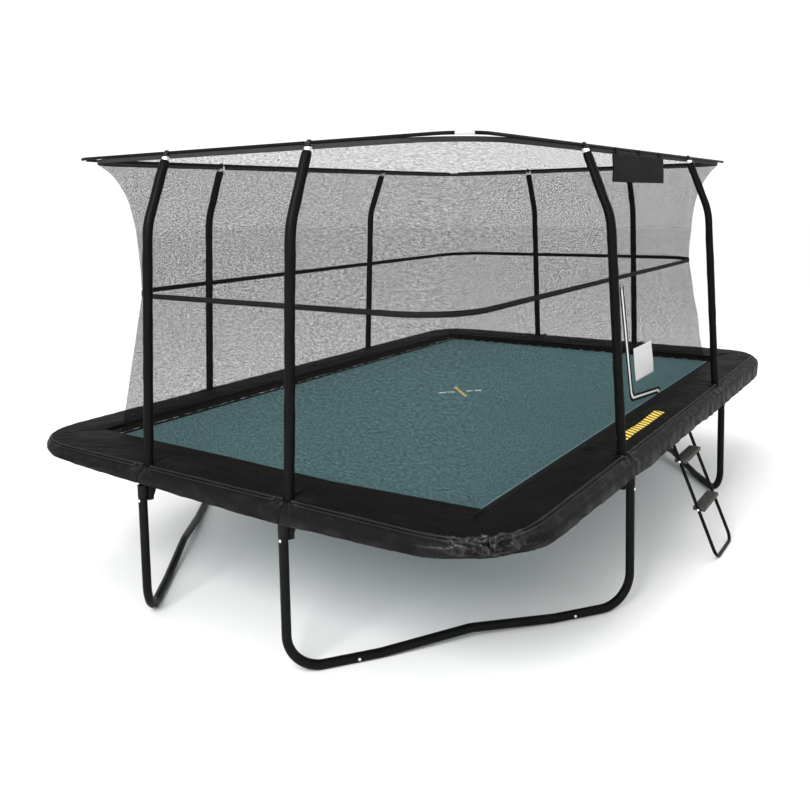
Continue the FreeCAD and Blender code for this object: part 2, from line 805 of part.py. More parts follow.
def ladder_step(height):
    """A flat tread with turned-down edges between the ladder's tubes."""
    centre = ladder_line(ladder_share(height))
    reach = ladder_half_width - ladder_tube_radius - fit_clearance
    low = V(ladder_middle_x - reach, centre.y - step_depth / 2, height - step_height / 2)
    high = V(ladder_middle_x + reach, centre.y + step_depth / 2, height + step_height / 2)
    body = box_between(tuple(low), tuple(high))
    hollow = box_between(
        (low.x + step_wall, low.y + step_wall, low.z - 1),
        (high.x - step_wall, high.y - step_wall, high.z - step_wall),
    )
    return body.cut(hollow)


def ladder_bolt_points():
    """Where the step bolts pass the ladder's tubes, with their inward directions."""
    places = []
    for height in step_heights:
        centre = ladder_line(ladder_share(height))
        for sign in (-1, 1):
            x = ladder_middle_x + sign * (ladder_half_width + ladder_tube_radius)
            places.append((V(x, centre.y, centre.z), V(-sign, 0, 0)))
    return places


def build_frame():
    for corner, (sign_x, sign_y) in CORNERS.items():
        add("frame_elbow_" + corner, rail_elbow(sign_x, sign_y))
    for side, (half_length, distance, turn) in SIDES.items():
        if side in ("front", "back"):
            tubes = straight_rail(half_length, distance, turn, 2)
            add("frame_rail_" + side, *tubes, rail_coupler(distance, turn))
        else:
            add("frame_rail_" + side, *straight_rail(half_length, distance, turn, 1))
    add("pole_brackets", *[placed(bracket(), place, turn) for _, place, turn in STATIONS])


def build_legs():
    bolts = []
    for corner in CORNERS:
        short, long = leg_feet(corner)
        towards = (long - short).normalize()
        for label, stand, other in (("short", short, long), ("long", long, short)):
            outward = V(math.copysign(1, stand.x), 0, 0) if label == "short" else V(0, math.copysign(1, stand.y), 0)
            top_bolt = stand + Z_AXIS * leg_bolt_height + outward * tube_radius
            run = (other - stand).normalize()
            side = run.cross(Z_AXIS)
            if side.dot(stand) < 0:
                side = side * -1
            foot_bolt = stand + run * (leg_foot_run - spigot_length / 2) + Z_AXIS * tube_radius + side * tube_radius
            leg = leg_upright(stand, other)
            leg = leg.cut([bolt_hole(top_bolt, outward * -1), bolt_hole(foot_bolt, side * -1)])
            add("leg_" + corner + "_" + label, leg)
            bolts.append(bolt(top_bolt, outward * -1))
            bolts.append(bolt(foot_bolt, side * -1))
        base = leg_base(short, long)
        side = towards.cross(Z_AXIS)
        if side.dot(short) < 0:
            side = side * -1
        for stand, run in ((short, towards), (long, towards * -1)):
            foot_bolt = stand + run * (leg_foot_run - spigot_length / 2) + Z_AXIS * tube_radius + side * tube_radius
            base = base.cut(bolt_hole(foot_bolt, side * -1))
        add("leg_base_" + corner, base)
    add("frame_bolts", *bolts)


def build_poles():
    sleeves = []
    caps = []
    for name, place, turn in STATIONS:
        add("pole_" + name, placed(pole(), place, turn))
        sleeves.append(placed(pole_sleeve(), place, turn))
        caps.append(placed(pole_cap(), place, turn))
    add("pole_sleeves", *sleeves)
    add("pole_caps", *caps)


def build_ring():
    rods = []
    for side, (half_length, distance, turn) in SIDES.items():
        reach = half_length - ring_inset - ring_corner_radius - ring_elbow_arm + rod_engagement
        station = station_on_short_side if side in ("left", "right") else station_on_long_side
        stops = [-reach, -station, station, reach]
        for start, end in zip(stops, stops[1:]):
            first = V(distance - ring_inset, start + fit_clearance, ring_height)
            last = V(distance - ring_inset, end - fit_clearance, ring_height)
            rods.append(placed(rod_between(first, last, rod_radius), (0, 0), turn))
    add("ring_rods", *rods)
    elbows = []
    arm = ring_corner_radius + ring_elbow_arm
    outer = rod_radius + fit_clearance + ring_elbow_wall
    for sign_x, sign_y in CORNERS.values():
        corner = V(sign_x * ring_half_length, sign_y * ring_half_width, ring_height)
        points = [corner - V(sign_x * arm, 0, 0), corner, corner - V(0, sign_y * arm, 0)]
        elbows.append(tube(points, [ring_corner_radius], outer, ring_elbow_wall))
    add("ring_elbows", *elbows)


def build_net():
    notches = []
    for _, place, turn in STATIONS:
        low = (-ring_inset - hem_notch, -hem_notch / 2, hem_bottom - notch_below_hem)
        notches.append(placed(box_between(low, (0, hem_notch / 2, ring_height)), place, turn))
    levels = net_levels()
    for side, (half_length, distance, turn) in SIDES.items():
        kind = "short" if side in ("left", "right") else "long"
        add("net_" + side, wall_strip(levels, kind, turn, net_thickness).cut(notches))
    hem = closed_band(ring_half_length, ring_half_width, ring_corner_radius, net_thickness, hem_bottom, hem_top)
    loop_low = ring_height - rod_radius - board_thickness - fit_clearance
    loop_reach = board_loop_width / 2 + fit_clearance
    for x in board_loop_places():
        notches.append(box_between(
            (x - loop_reach, -ring_half_width - net_thickness, loop_low),
            (x + loop_reach, -ring_half_width + 2 * net_thickness, ring_height),
        ))
    add("net_hem", *hem.cut(notches).Solids)
    grow = band_height / 2 * corner_spread() + band_clearance + band_thickness
    add("net_band", closed_band(
        waist_half_length + grow, waist_half_width + grow, waist_corner_radius + grow, band_thickness,
        waist_height - band_height / 2, waist_height + band_height / 2,
    ))
    add("door_zip", door_zip())
    add("zip_slider", zip_slider())
    add("door_card", door_card())
    add("ring_board", ring_board())


def build_mat():
    inner_x = net_foot_half_length - mat_field_inset
    inner_y = net_foot_half_width - mat_field_inset
    strips = []
    rings = []
    for side, (half_length, distance, turn) in SIDES.items():
        short_side = side in ("left", "right")
        outer, outer_run = (mat_half_length, mat_half_width) if short_side else (mat_half_width, mat_half_length)
        inner, inner_run = (inner_x, inner_y) if short_side else (inner_y, inner_x)
        station = station_on_short_side if short_side else station_on_long_side
        strips.append(edge_strip(outer_run, outer, inner, inner_run, turn))
        places = spring_places(outer_run, side)
        add("springs_" + side, *[placed(spring(y, distance, station), (0, 0), turn) for y in places])
        rings += [placed(ring_plate(y, distance), (0, 0), turn) for y in places]
        print("springs on the", side, "side:", len(places))
    add("mat_edge", *strips)
    add("mat_rings", *rings)
    add("jump_mat", jump_mat())


def build_pads():
    for side in SIDES:
        add("pad_" + side, *pad_side(side))


def build_ladder():
    holes = [bolt_hole(point, inward) for point, inward in ladder_bolt_points()]
    add("ladder_frame", ladder_frame().cut(holes))
    add("ladder_steps", *[ladder_step(height).cut(holes) for height in step_heights])
    add("ladder_bolts", *[bolt(point, inward) for point, inward in ladder_bolt_points()])


build_frame()
build_legs()
build_poles()
build_ring()
build_net()
build_mat()
build_pads()
build_ladder()

os.makedirs("parts", exist_ok=True)
whole = FreeCAD.BoundBox()
for name, shape in parts.items():
    if not shape.isValid():
        print("invalid:", name)
    shape.exportStep("parts/" + name + ".step")
    whole.add(shape.BoundBox)
print("sub-parts:", len(parts))
print("overall size:", round(whole.XLength, 1), round(whole.YLength, 1), round(whole.ZLength, 1))
print("lowest corner:", round(whole.XMin, 1), round(whole.YMin, 1), round(whole.ZMin, 1))
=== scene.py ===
# %% [markdown]
# A garden trampoline: a steel frame on bent legs, eight sleeved poles with a ring of rods, a netting
# wall, a sprung mat under a soft safety pad, and a small ladder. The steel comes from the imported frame.
# Everything sewn, woven, coiled or laced is made here around it, in metres, in the frame's own place.

# %% Load the frame
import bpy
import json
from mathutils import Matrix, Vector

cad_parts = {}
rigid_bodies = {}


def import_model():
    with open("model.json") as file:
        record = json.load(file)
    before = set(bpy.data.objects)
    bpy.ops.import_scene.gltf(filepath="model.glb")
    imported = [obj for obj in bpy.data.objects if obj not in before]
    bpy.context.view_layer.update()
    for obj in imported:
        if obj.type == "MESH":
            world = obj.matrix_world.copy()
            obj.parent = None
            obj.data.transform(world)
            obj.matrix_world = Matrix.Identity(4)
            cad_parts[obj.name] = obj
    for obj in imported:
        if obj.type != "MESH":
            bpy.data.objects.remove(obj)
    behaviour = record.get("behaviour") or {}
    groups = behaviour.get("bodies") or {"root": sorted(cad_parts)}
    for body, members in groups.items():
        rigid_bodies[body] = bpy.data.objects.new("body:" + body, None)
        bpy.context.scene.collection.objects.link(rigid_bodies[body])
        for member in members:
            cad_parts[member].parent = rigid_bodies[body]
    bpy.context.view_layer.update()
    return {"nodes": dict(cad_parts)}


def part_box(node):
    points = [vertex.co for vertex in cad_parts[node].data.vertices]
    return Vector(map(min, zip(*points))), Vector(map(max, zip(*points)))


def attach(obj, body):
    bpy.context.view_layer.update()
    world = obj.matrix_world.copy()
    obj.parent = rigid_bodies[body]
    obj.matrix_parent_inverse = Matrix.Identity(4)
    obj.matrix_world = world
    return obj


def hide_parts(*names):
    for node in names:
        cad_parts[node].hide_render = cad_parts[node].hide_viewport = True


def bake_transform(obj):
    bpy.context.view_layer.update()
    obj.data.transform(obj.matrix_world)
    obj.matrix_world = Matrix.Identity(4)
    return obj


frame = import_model()
print("frame:", len(frame["nodes"]), "nodes")

# %% Tools of the lesson
import json
import math

import bmesh
import bpy
import numpy as np
from mathutils import Matrix, Vector

scene = bpy.context.scene
nodes = frame["nodes"]

# %% [markdown]
# A size that the frame already knows is read from it, so that the cloth follows the steel. The rails'
# axes, the ring and the poles' places are the middles and corners of boxes round the frame's nodes.

# %% Measures read from the frame


def middle(node):
    """The middle of a node's box."""
    low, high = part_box(node)
    return (low + high) / 2


def reach(node):
    """How far a node that lies round the middle reaches along X and Y."""
    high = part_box(node)[1]
    return high.x, high.y


# A pole stands this far outside its rail, and its line meets the ring this far inside it.
POLE_OUT = 0.065
RING_INSET = 0.169
rod_radius = 0.006
rail_x = middle("frame_rail_right").x
rail_y = middle("frame_rail_back").y
rail_z = middle("frame_rail_back").z
ring_z = middle("ring_rods").z
ring_x, ring_y = (half - rod_radius for half in reach("ring_rods"))
MAT_HALF = reach("jump_mat")
EDGE_HALF = reach("mat_edge")
print("rails at", round(rail_x, 3), round(rail_y, 3), "ring at", round(ring_x, 3), round(ring_y, 3))

# %% [markdown]
# The four sides are alike, so each piece is worked out once as distances: how far out from the middle,
# how far along the side, and how high. A side turns those three numbers into points of the frame.

# %% The four sides


class Side:
    """One side of the rectangle, with its rail's distance and the place of its poles."""

    def __init__(self, name, outward, along, rail, half_run, station):
        self.name = name
        self.outward = np.array(outward, float)
        self.along = np.array(along, float)
        self.heading = math.atan2(outward[1], outward[0])
        self.rail = rail
        self.half_run = half_run
        self.station = station

    def place(self, out, run, z):
        """Points from their distance out, their place along the side and their height."""
        out, run, z = np.broadcast_arrays(out, run, z)
        flat = out[..., None] * self.outward + run[..., None] * self.along
        return np.concatenate([flat, z[..., None]], axis=-1)

    def halves(self, sizes):
        """How far out this side lies in a rectangle of half sizes along X and Y, and half its run."""
        sizes = np.asarray(sizes, float)
        half_x, half_y = sizes[..., 0], sizes[..., 1]
        return (half_y, half_x) if self.outward[0] == 0 else (half_x, half_y)


station_long = middle("pole_front_right").x
station_short = middle("pole_right_back").y
SIDES = [
    Side("front", (0, -1), (1, 0), rail_y, rail_x, station_long),
    Side("right", (1, 0), (0, 1), rail_x, rail_y, station_short),
    Side("back", (0, 1), (-1, 0), rail_y, rail_x, station_long),
    Side("left", (-1, 0), (0, -1), rail_x, rail_y, station_short),
]
POLES = []
for pole_side in SIDES:
    for pole_node in sorted(n for n in nodes if n.startswith("pole_" + pole_side.name)):
        pole_run = float(np.dot(middle(pole_node)[:2], pole_side.along))
        POLES.append((pole_node, pole_side, pole_run))


def pole_top(pole):
    """Where a pole's line meets the ring, seen from above."""
    _, side, run = pole
    return (side.rail - RING_INSET) * side.outward + run * side.along


POLES.sort(key=lambda pole: math.atan2(pole_top(pole)[1], pole_top(pole)[0]))
print("poles:", [pole[0] for pole in POLES])

# %% [markdown]
# Most soft pieces are grids of points. One helper turns a grid into a mesh whose UV map is in metres,
# so that a weave keeps its thread size on every piece. A second one gives a grid a back, at its own
# distance from each point, which makes a closed sewn form of it.

# %% Grids into meshes


def finish_mesh(name, vertices, faces, corners, material):
    """A smooth object from points, faces and one UV pair for each face corner."""
    mesh = bpy.data.meshes.new(name)
    mesh.from_pydata(vertices.tolist(), [], faces.tolist())
    mesh.polygons.foreach_set("use_smooth", np.ones(len(faces), bool))
    mesh.uv_layers.new(name="UVMap").data.foreach_set("uv", corners.astype(np.float32).ravel())
    mesh.materials.append(material)
    mesh.update()
    obj = bpy.data.objects.new(name, mesh)
    scene.collection.objects.link(obj)
    return obj


def grid_quads(count_u, count_v, closed):
    """Corner numbers of a grid's quads, as rows and columns."""
    columns = count_v if closed else count_v - 1
    i, j = np.meshgrid(np.arange(count_u - 1), np.arange(columns), indexing="ij")
    i, j = i.ravel(), j.ravel()
    return np.stack([i, i + 1, i + 1, i], 1), np.stack([j, j, j + 1, j + 1], 1)


def grid_object(name, points, u, v, material, closed=False):
    """A surface through points[i, j]. Its UV comes from u and v, which have one more column if closed."""
    count_u, count_v = points.shape[:2]
    rows, columns = grid_quads(count_u, count_v, closed)
    u = np.broadcast_to(u, (count_u, count_v + closed))
    v = np.broadcast_to(v, (count_u, count_v + closed))
    faces = rows * count_v + columns % count_v
    corners = np.stack([u[rows, columns], v[rows, columns]], -1)
    return finish_mesh(name, points.reshape(-1, 3), faces, corners.reshape(-1, 2), material)


def backed_grid(name, front, back, u, v, material):
    """A closed form between two grids of the same shape."""
    shape = count_u, count_v = front.shape[:2]
    rows, columns = grid_quads(count_u, count_v, False)
    skin = rows * count_v + columns
    size = count_u * count_v
    number = np.arange(size).reshape(shape)
    loop = np.concatenate([number[:, 0], number[-1, 1:], number[-2::-1, -1], number[0, -2:0:-1]])
    after = np.roll(loop, -1)
    rim = np.stack([after, loop, loop + size, after + size], 1)
    faces = np.concatenate([skin, skin[:, ::-1] + size, rim])
    flat_uv = np.stack([np.broadcast_to(u, shape), np.broadcast_to(v, shape)], -1)
    flat_uv = np.concatenate([flat_uv.reshape(-1, 2)] * 2)
    vertices = np.concatenate([front.reshape(-1, 3), back.reshape(-1, 3)])
    return finish_mesh(name, vertices, faces, flat_uv[faces].reshape(-1, 2), material)


def normals_of(points):
    """The unit normal at each point of a grid."""
    along_u = np.gradient(points, axis=0)
    along_v = np.gradient(points, axis=1)
    normal = np.cross(along_u, along_v)
    return normal / np.maximum(np.linalg.norm(normal, axis=-1, keepdims=True), 1e-12)


def run_lengths(points, axis):
    """How far each point lies along its row or column of a grid."""
    steps = np.linalg.norm(np.diff(points, axis=axis), axis=-1)
    return np.concatenate([np.zeros_like(np.take(steps, [0], axis)), np.cumsum(steps, axis)], axis)


# %% [markdown]
# Cloth is never quite even. A few sine waves with seeded directions and phases add up to a soft,
# repeatable unevenness, and the same small function gives slack to nets, sleeves and pads.

# %% Soft unevenness


def uneven(u, v, size_u, size_v, seed, waves=7):
    """A smooth field of about unit height, with humps of roughly size_u by size_v."""
    draw = np.random.RandomState(seed)
    total = np.zeros(np.broadcast(u, v).shape)
    for _ in range(waves):
        angle = draw.uniform(0, 2 * math.pi)
        pace = draw.uniform(0.6, 1.4)
        phase = draw.uniform(0, 2 * math.pi)
        total = total + np.sin(
            math.pi * pace * (u * math.cos(angle) / size_u + v * math.sin(angle) / size_v) + phase
        )
    return total / math.sqrt(waves / 2)


# %% [markdown]
# Tubes, cords and piping follow paths. Straight runs joined by tangent arcs are bent as a tube bender
# bends them, and a frame of two side directions is carried along so that the section doesn't twist.

# %% Paths and sweeps
UP = np.array([0.0, 0.0, 1.0])


def round_turns(count):
    """Evenly spaced angles round a circle."""
    return np.arange(count) / count * 2 * math.pi


def bent_path(corners, radii, step):
    """Points about a step apart along straight runs joined by tangent arcs."""
    corners = [np.array(c, float) for c in corners]
    points = [corners[0]]

    def straight_to(end):
        run = end - points[-1]
        count = max(1, round(float(np.linalg.norm(run)) / step))
        start = points[-1]
        points.extend(start + run * (k / count) for k in range(1, count + 1))

    for before, corner, after, radius in zip(corners, corners[1:], corners[2:], radii):
        into = (corner - before) / np.linalg.norm(corner - before)
        out = (after - corner) / np.linalg.norm(after - corner)
        turn = math.acos(float(np.clip(into @ out, -1, 1)))
        reach = radius * math.tan(turn / 2)
        straight_to(corner - into * reach)
        inward = (out - into) / np.linalg.norm(out - into)
        centre = corner + inward * (radius / math.cos(turn / 2))
        first = (corner - into * reach - centre) / radius
        count = max(3, round(radius * turn / step))
        for k in range(1, count + 1):
            angle = turn * k / count
            points.append(centre + radius * (first * math.cos(angle) + into * math.sin(angle)))
    straight_to(corners[-1])
    return np.array(points)


def side_directions(path):
    """Two unit directions across a path at each of its points."""
    tangents = np.gradient(path, axis=0)
    tangents /= np.linalg.norm(tangents, axis=1, keepdims=True)
    across = [np.cross(tangents[0], UP)]
    for tangent in tangents:
        last = across[-1] - tangent * (across[-1] @ tangent)
        across.append(last / np.linalg.norm(last))
    across = np.array(across[1:])
    return across, np.cross(across, tangents)


# %% [markdown]
# Materials are written as arithmetic. A Signal is a value somewhere in the shader, and adding or
# multiplying Signals adds Math nodes. A Finish owns the node tree and makes every other kind of node
# with one method: the node's settings first, then what its sockets hold or link to.

# %% Shader arithmetic


class Signal:
    """A value inside a material."""

    def __init__(self, finish, socket):
        self.finish = finish
        self.socket = socket

    def __add__(self, other):
        return self.finish.math("ADD", self, other)

    def __radd__(self, other):
        return self.finish.math("ADD", other, self)

    def __sub__(self, other):
        return self.finish.math("SUBTRACT", self, other)

    def __rsub__(self, other):
        return self.finish.math("SUBTRACT", other, self)

    def __mul__(self, other):
        return self.finish.math("MULTIPLY", self, other)

    def __truediv__(self, other):
        return self.finish.math("DIVIDE", self, other)


class Finish:
    """A material and the nodes that it is made of."""

    def __init__(self, name):
        self.material = bpy.data.materials.new(name)
        self.material.use_nodes = True
        self.tree = self.material.node_tree
        self.shader = self.tree.nodes["Principled BSDF"]

    def node(self, kind, settings=None, inputs=None, out=0):
        """Any node, as the Signal of one of its outputs."""
        made = self.tree.nodes.new(kind)
        for key, value in (settings or {}).items():
            if key == "stops":
                for stop, (place, shade) in zip(made.color_ramp.elements, value):
                    stop.position = place
                    stop.color = (shade, shade, shade, 1)
            else:
                setattr(made, key, value)
        for key, value in (inputs or {}).items():
            self.feed(made.inputs[key], value)
        return Signal(self, made.outputs[out])

    def feed(self, socket, value):
        """Links a Signal to a socket, or sets a plain value on it."""
        if isinstance(value, Signal):
            self.tree.links.new(value.socket, socket)
        else:
            socket.default_value = value

    def math(self, operation, first, second=0.0):
        return self.node("ShaderNodeMath", {"operation": operation}, {0: first, 1: second})

    def place(self, kind="Object"):
        """Where the surface point is: Object, or UV for a pattern that follows the cloth."""
        names = ["Generated", "Normal", "UV", "Object"]
        return self.node("ShaderNodeTexCoord", out=names.index(kind))

    def split(self, vector):
        """The three numbers of a vector."""
        made = self.tree.nodes.new("ShaderNodeSeparateXYZ")
        self.feed(made.inputs[0], vector)
        return [Signal(self, s) for s in made.outputs]

    def join(self, x, y, z=0.0):
        return self.node("ShaderNodeCombineXYZ", None, {0: x, 1: y, 2: z})

    def noise(self, vector, scale, detail=3.0, rough=0.5):
        return self.node("ShaderNodeTexNoise", None, {
            "Vector": vector, "Scale": scale, "Detail": detail, "Roughness": rough,
        })

    def ramp(self, value, *stops):
        return self.node("ShaderNodeValToRGB", {"stops": stops}, {0: value})

    def blend(self, factor, first, second):
        """A colour between two colours."""
        colours = {0: factor, 6: rgb(first), 7: rgb(second)}
        return self.node("ShaderNodeMix", {"data_type": "RGBA"}, colours, out=2)

    def wave(self, value, pitch):
        """A sine of a length in metres, from 0 to 1, that repeats every pitch."""
        return self.math("SINE", value * (2 * math.pi / pitch)) * 0.5 + 0.5

    def band(self, value, centre, half_width, soft):
        """1 within half_width of centre, falling to 0 over a soft edge."""
        away = self.math("ABSOLUTE", value - centre)
        return self.node("ShaderNodeMapRange", {"interpolation_type": "SMOOTHSTEP"}, {
            0: away, 1: half_width, 2: half_width + soft, 3: 1.0, 4: 0.0,
        })

    def bump(self, height, distance, under=None):
        """A Normal from a height in units of distance."""
        inputs = {"Height": height, "Distance": distance}
        if under is not None:
            inputs["Normal"] = under
        return self.node("ShaderNodeBump", None, inputs)

    def surface(self, **values):
        """Sets or links the shader's own sockets and gives the material back."""
        for key, value in values.items():
            self.feed(self.shader.inputs[key.replace("_", " ")], rgb(value))
        return self.material


def rgb(value):
    """A colour with its alpha, or anything else as it is."""
    return (*value, 1.0) if isinstance(value, tuple) and len(value) == 3 else value


# %% [markdown]
# Powder coat is paint baked on as dust, so it is satin and very slightly pebbled. Plated and zinc
# parts are metal with a cloudy roughness. Plastic is softer in its shine. All of these read Object
# coordinates, because the steel has no UV map.

# %% Hard finishes


def powder_coat(name, colour=(0.003, 0.003, 0.0034)):
    f = Finish(name)
    at = f.place()
    cloud = f.noise(at, 9.0, 4.0)
    pebble = f.noise(at, 900.0, 2.0)
    dust = f.ramp(f.noise(at, 38.0, 5.0, 0.6), (0.58, 0.0), (0.8, 1.0))
    shade = f.blend(cloud, colour, tuple(c * 1.7 for c in colour))
    return f.surface(
        Base_Color=f.blend(dust * 0.03, shade, (0.25, 0.24, 0.22)),
        Roughness=cloud * 0.16 + 0.3 + dust * 0.1,
        Normal=f.bump(pebble, 0.0002),
        Specular_IOR_Level=0.03,
        Coat_Weight=0.08,
        Coat_Roughness=0.2,
    )


def plated(name, colour=(0.78, 0.78, 0.76), shine=0.22):
    f = Finish(name)
    at = f.place()
    cloud = f.noise(at, 60.0, 4.0)
    stain = f.ramp(f.noise(at, 160.0, 3.0), (0.5, 0.0), (0.75, 1.0))
    return f.surface(
        Base_Color=f.blend(stain * 0.35, colour, (0.42, 0.41, 0.39)),
        Roughness=cloud * 0.2 + shine,
        Normal=f.bump(f.noise(at, 1200.0, 2.0), 0.0001),
        Metallic=1.0,
    )


def plastic(name, colour=(0.009, 0.009, 0.009), rough=0.42):
    f = Finish(name)
    at = f.place()
    grain = f.noise(at, 700.0, 2.0)
    cloud = f.noise(at, 14.0, 3.0)
    return f.surface(
        Base_Color=f.blend(cloud, colour, tuple(min(1.0, c * 1.25) for c in colour)),
        Roughness=cloud * 0.12 + rough,
        Normal=f.bump(grain, 0.00015),
        Specular_IOR_Level=0.1,
        Coat_Weight=0.12,
        Coat_Roughness=0.3,
    )


steel_black = powder_coat("black_powder_coat")
steel_inner = powder_coat("frame_powder_coat", (0.005, 0.005, 0.0055))
plated_steel = plated("plated_steel")
zinc_bolt = plated("zinc_bolt", (0.82, 0.82, 0.8), 0.3)
zinc_wire = plated("zinc_wire", (0.7, 0.7, 0.69), 0.28)
black_plastic = plastic("black_plastic")
rod_black = plastic("black_rod", (0.008, 0.008, 0.008), 0.3)
white_plastic = plastic("white_plastic", (0.8, 0.8, 0.78), 0.35)

# %% [markdown]
# A pole is painted up to its tip. A short stretch between the sleeve's end and the cap is bare plated
# steel, and on the real one it shows as a bright ring. Height alone separates the two finishes.

# %% Pole finish
ferrule_z = ring_z - 0.036
ferrule_half = 0.014


def pole_paint():
    f = Finish("pole_paint")
    at = f.place()
    cloud = f.noise(at, 12.0, 4.0)
    bare = f.band(f.split(at)[2], ferrule_z, ferrule_half, 0.001)
    return f.surface(
        Base_Color=f.blend(bare, (0.0045, 0.0045, 0.005), (0.9, 0.9, 0.89)),
        Metallic=bare * 0.6,
        Roughness=cloud * 0.15 + 0.3,
        Normal=f.bump(f.noise(at, 900.0, 2.0), 0.00015),
        Specular_IOR_Level=0.03,
        Coat_Weight=0.08,
        Coat_Roughness=0.2,
    )


pole_finish = pole_paint()

# %% Steel pieces get their finishes


def paint(node, material):
    """Every slot of a node's object gets one material."""
    for holder in nodes[node].material_slots:
        holder.material = material


PAINTS = {
    "frame_elbow": steel_inner, "frame_rail": steel_inner, "pole_brackets": steel_inner,
    "leg_": steel_black, "frame_bolts": zinc_bolt, "pole_caps": black_plastic,
    "ring_rods": rod_black, "ring_elbows": plated_steel, "zip_slider": black_plastic,
    "ladder_frame": steel_black, "ladder_steps": steel_black, "ladder_bolts": white_plastic,
}
for node_name in nodes:
    for start, finish in PAINTS.items():
        if node_name.startswith(start):
            paint(node_name, finish)
for pole_node, _, _ in POLES:
    paint(pole_node, pole_finish)
print("painted steel nodes")

# %% [markdown]
# The camera stands off the near left corner, a little above head height. Its place was found from the
# poles, legs and ring of the picture. The picture's middle lies below the optical axis, so the lens
# is shifted down and only slightly tilted, and the poles stay nearly upright.

# %% Camera
FRAME_PIXELS = 810
focal_pixels = 828.0
axis_pixel_y = 280.0
eye = Vector((-5.601, -3.284, 2.369))
forward = Vector((0.8246, 0.5580, -0.0934)).normalized()
level_right = Vector((0.5605, -0.8282, 0)).normalized()
roll = math.radians(-1.067)
level_up = level_right.cross(forward)
picture_right = level_right * math.cos(roll) + level_up * math.sin(roll)
picture_up = picture_right.cross(forward)

camera = bpy.data.objects.new("camera", bpy.data.cameras.new("camera"))
scene.collection.objects.link(camera)
camera.matrix_world = Matrix.Translation(eye) @ Matrix(
    (picture_right, picture_up, -forward)).transposed().to_4x4()
camera.data.sensor_width = 36
camera.data.lens = focal_pixels / FRAME_PIXELS * camera.data.sensor_width
camera.data.shift_y = (axis_pixel_y - FRAME_PIXELS / 2) / FRAME_PIXELS
camera.data.clip_end = 200
scene.camera = camera
print("lens", round(camera.data.lens, 2), "mm, shift", round(camera.data.shift_y, 3))

# %% [markdown]
# A pale floor and big soft lights, as in a product studio. The floor and the sky are both close to
# white, so that the horizon vanishes and only the soft shadow says where the ground is.

# %% Studio


def floor_finish():
    f = Finish("studio_floor")
    at = f.place()
    cloud = f.noise(at, 0.6, 3.0)
    return f.surface(
        Base_Color=f.blend(cloud, (0.86, 0.86, 0.86), (0.89, 0.89, 0.885)),
        Roughness=cloud * 0.1 + 0.75,
        Normal=f.bump(f.noise(at, 60.0, 3.0), 0.0005),
        Specular_IOR_Level=0.1,
    )


floor_reach = 60.0
floor_points = np.array([[(-floor_reach, -floor_reach, 0), (-floor_reach, floor_reach, 0)],
                         [(floor_reach, -floor_reach, 0), (floor_reach, floor_reach, 0)]], float)
floor = grid_object("studio_floor", floor_points, np.array([[0], [1]]), np.array([[0, 1]]), floor_finish())


def soft_light(name, place, towards, size, power):
    """A square area light that looks at a point."""
    lamp = bpy.data.lights.new(name, "AREA")
    lamp.size = size
    lamp.energy = power
    obj = bpy.data.objects.new(name, lamp)
    obj.location = place
    obj.rotation_euler = (Vector(towards) - Vector(place)).to_track_quat("-Z", "Y").to_euler()
    scene.collection.objects.link(obj)


soft_light("key", (-7.2, -1.6, 4.8), (-1.0, -0.2, 0.8), 3.0, 460)
soft_light("fill", (8.0, -5.0, 6.0), (0, 0, 1), 6.0, 180)
soft_light("top", (0.0, 2.0, 9.0), (0, 0, 0.8), 7.0, 250)
world = bpy.data.worlds.new("studio")
world.use_nodes = True
world.node_tree.nodes["Background"].inputs["Color"].default_value = (1, 1, 1, 1)
world.node_tree.nodes["Background"].inputs["Strength"].default_value = 1.15
scene.world = world
scene.view_settings.view_transform = "Standard"
print("studio ready")

# %% [markdown]
# Woven finishes use the UV map in metres. A plain weave is two sets of threads, each hidden where the
# other passes over it, so the product of two sines makes its little hills. Webbing has thick ribs, and
# coated cloth has a hint of weave under a skin that creases.

# %% Woven finishes


def weave(f, u, v, pitch):
    """Height of a plain weave with threads a pitch apart."""
    return f.wave(u, pitch) * f.wave(v + pitch / 2, pitch * 2) + f.wave(v, pitch) * f.wave(u, pitch * 2)


def woven_cloth(name, dark, light, pitch, rough=0.7, relief=0.0004, gloss=0.02):
    f = Finish(name)
    at = f.place("UV")
    u, v, _ = f.split(at)
    height = weave(f, u, v, pitch)
    cloud = f.noise(at, 5.0, 4.0)
    lint = f.ramp(f.noise(at, 420.0, 2.0), (0.66, 0.0), (0.84, 1.0))
    # Painted shade in the weave: the colour is darker in the weave's hollows and lighter on its hills,
    # mixed with a random cloud of tone.
    shade = f.blend(height * 0.4 + cloud * 0.6, dark, light)
    crease = f.noise(f.join(u * 0.5, v), 14.0, 5.0, 0.55)
    return f.surface(
        Base_Color=f.blend(lint * 0.1, shade, (0.12, 0.12, 0.12)),
        Roughness=rough - height * 0.1,
        Normal=f.bump(height, relief, f.bump(crease, 0.004)),
        Specular_IOR_Level=0.02,
        Coat_Weight=gloss,
        Coat_Roughness=0.34,
    )


sleeve_cloth = woven_cloth("sleeve_cloth", (0.0022, 0.0022, 0.0024), (0.0055, 0.0055, 0.006), 0.0016, 0.62,
                            gloss=0.07)
webbing = woven_cloth("webbing", (0.007, 0.007, 0.007), (0.018, 0.017, 0.0165), 0.003, 0.75, 0.0009)
hem_cloth = woven_cloth("hem_cloth", (0.022, 0.022, 0.0225), (0.04, 0.04, 0.041), 0.0018, 0.8)
casing_cloth = woven_cloth("casing_cloth", (0.004, 0.004, 0.0045), (0.009, 0.009, 0.0095), 0.0014, 0.5)
thread_white = woven_cloth("thread_white", (0.62, 0.62, 0.6), (0.85, 0.85, 0.82), 0.0012, 0.6)
thread_yellow = woven_cloth("thread_yellow", (0.72, 0.5, 0.12), (0.85, 0.68, 0.3), 0.0012, 0.6)

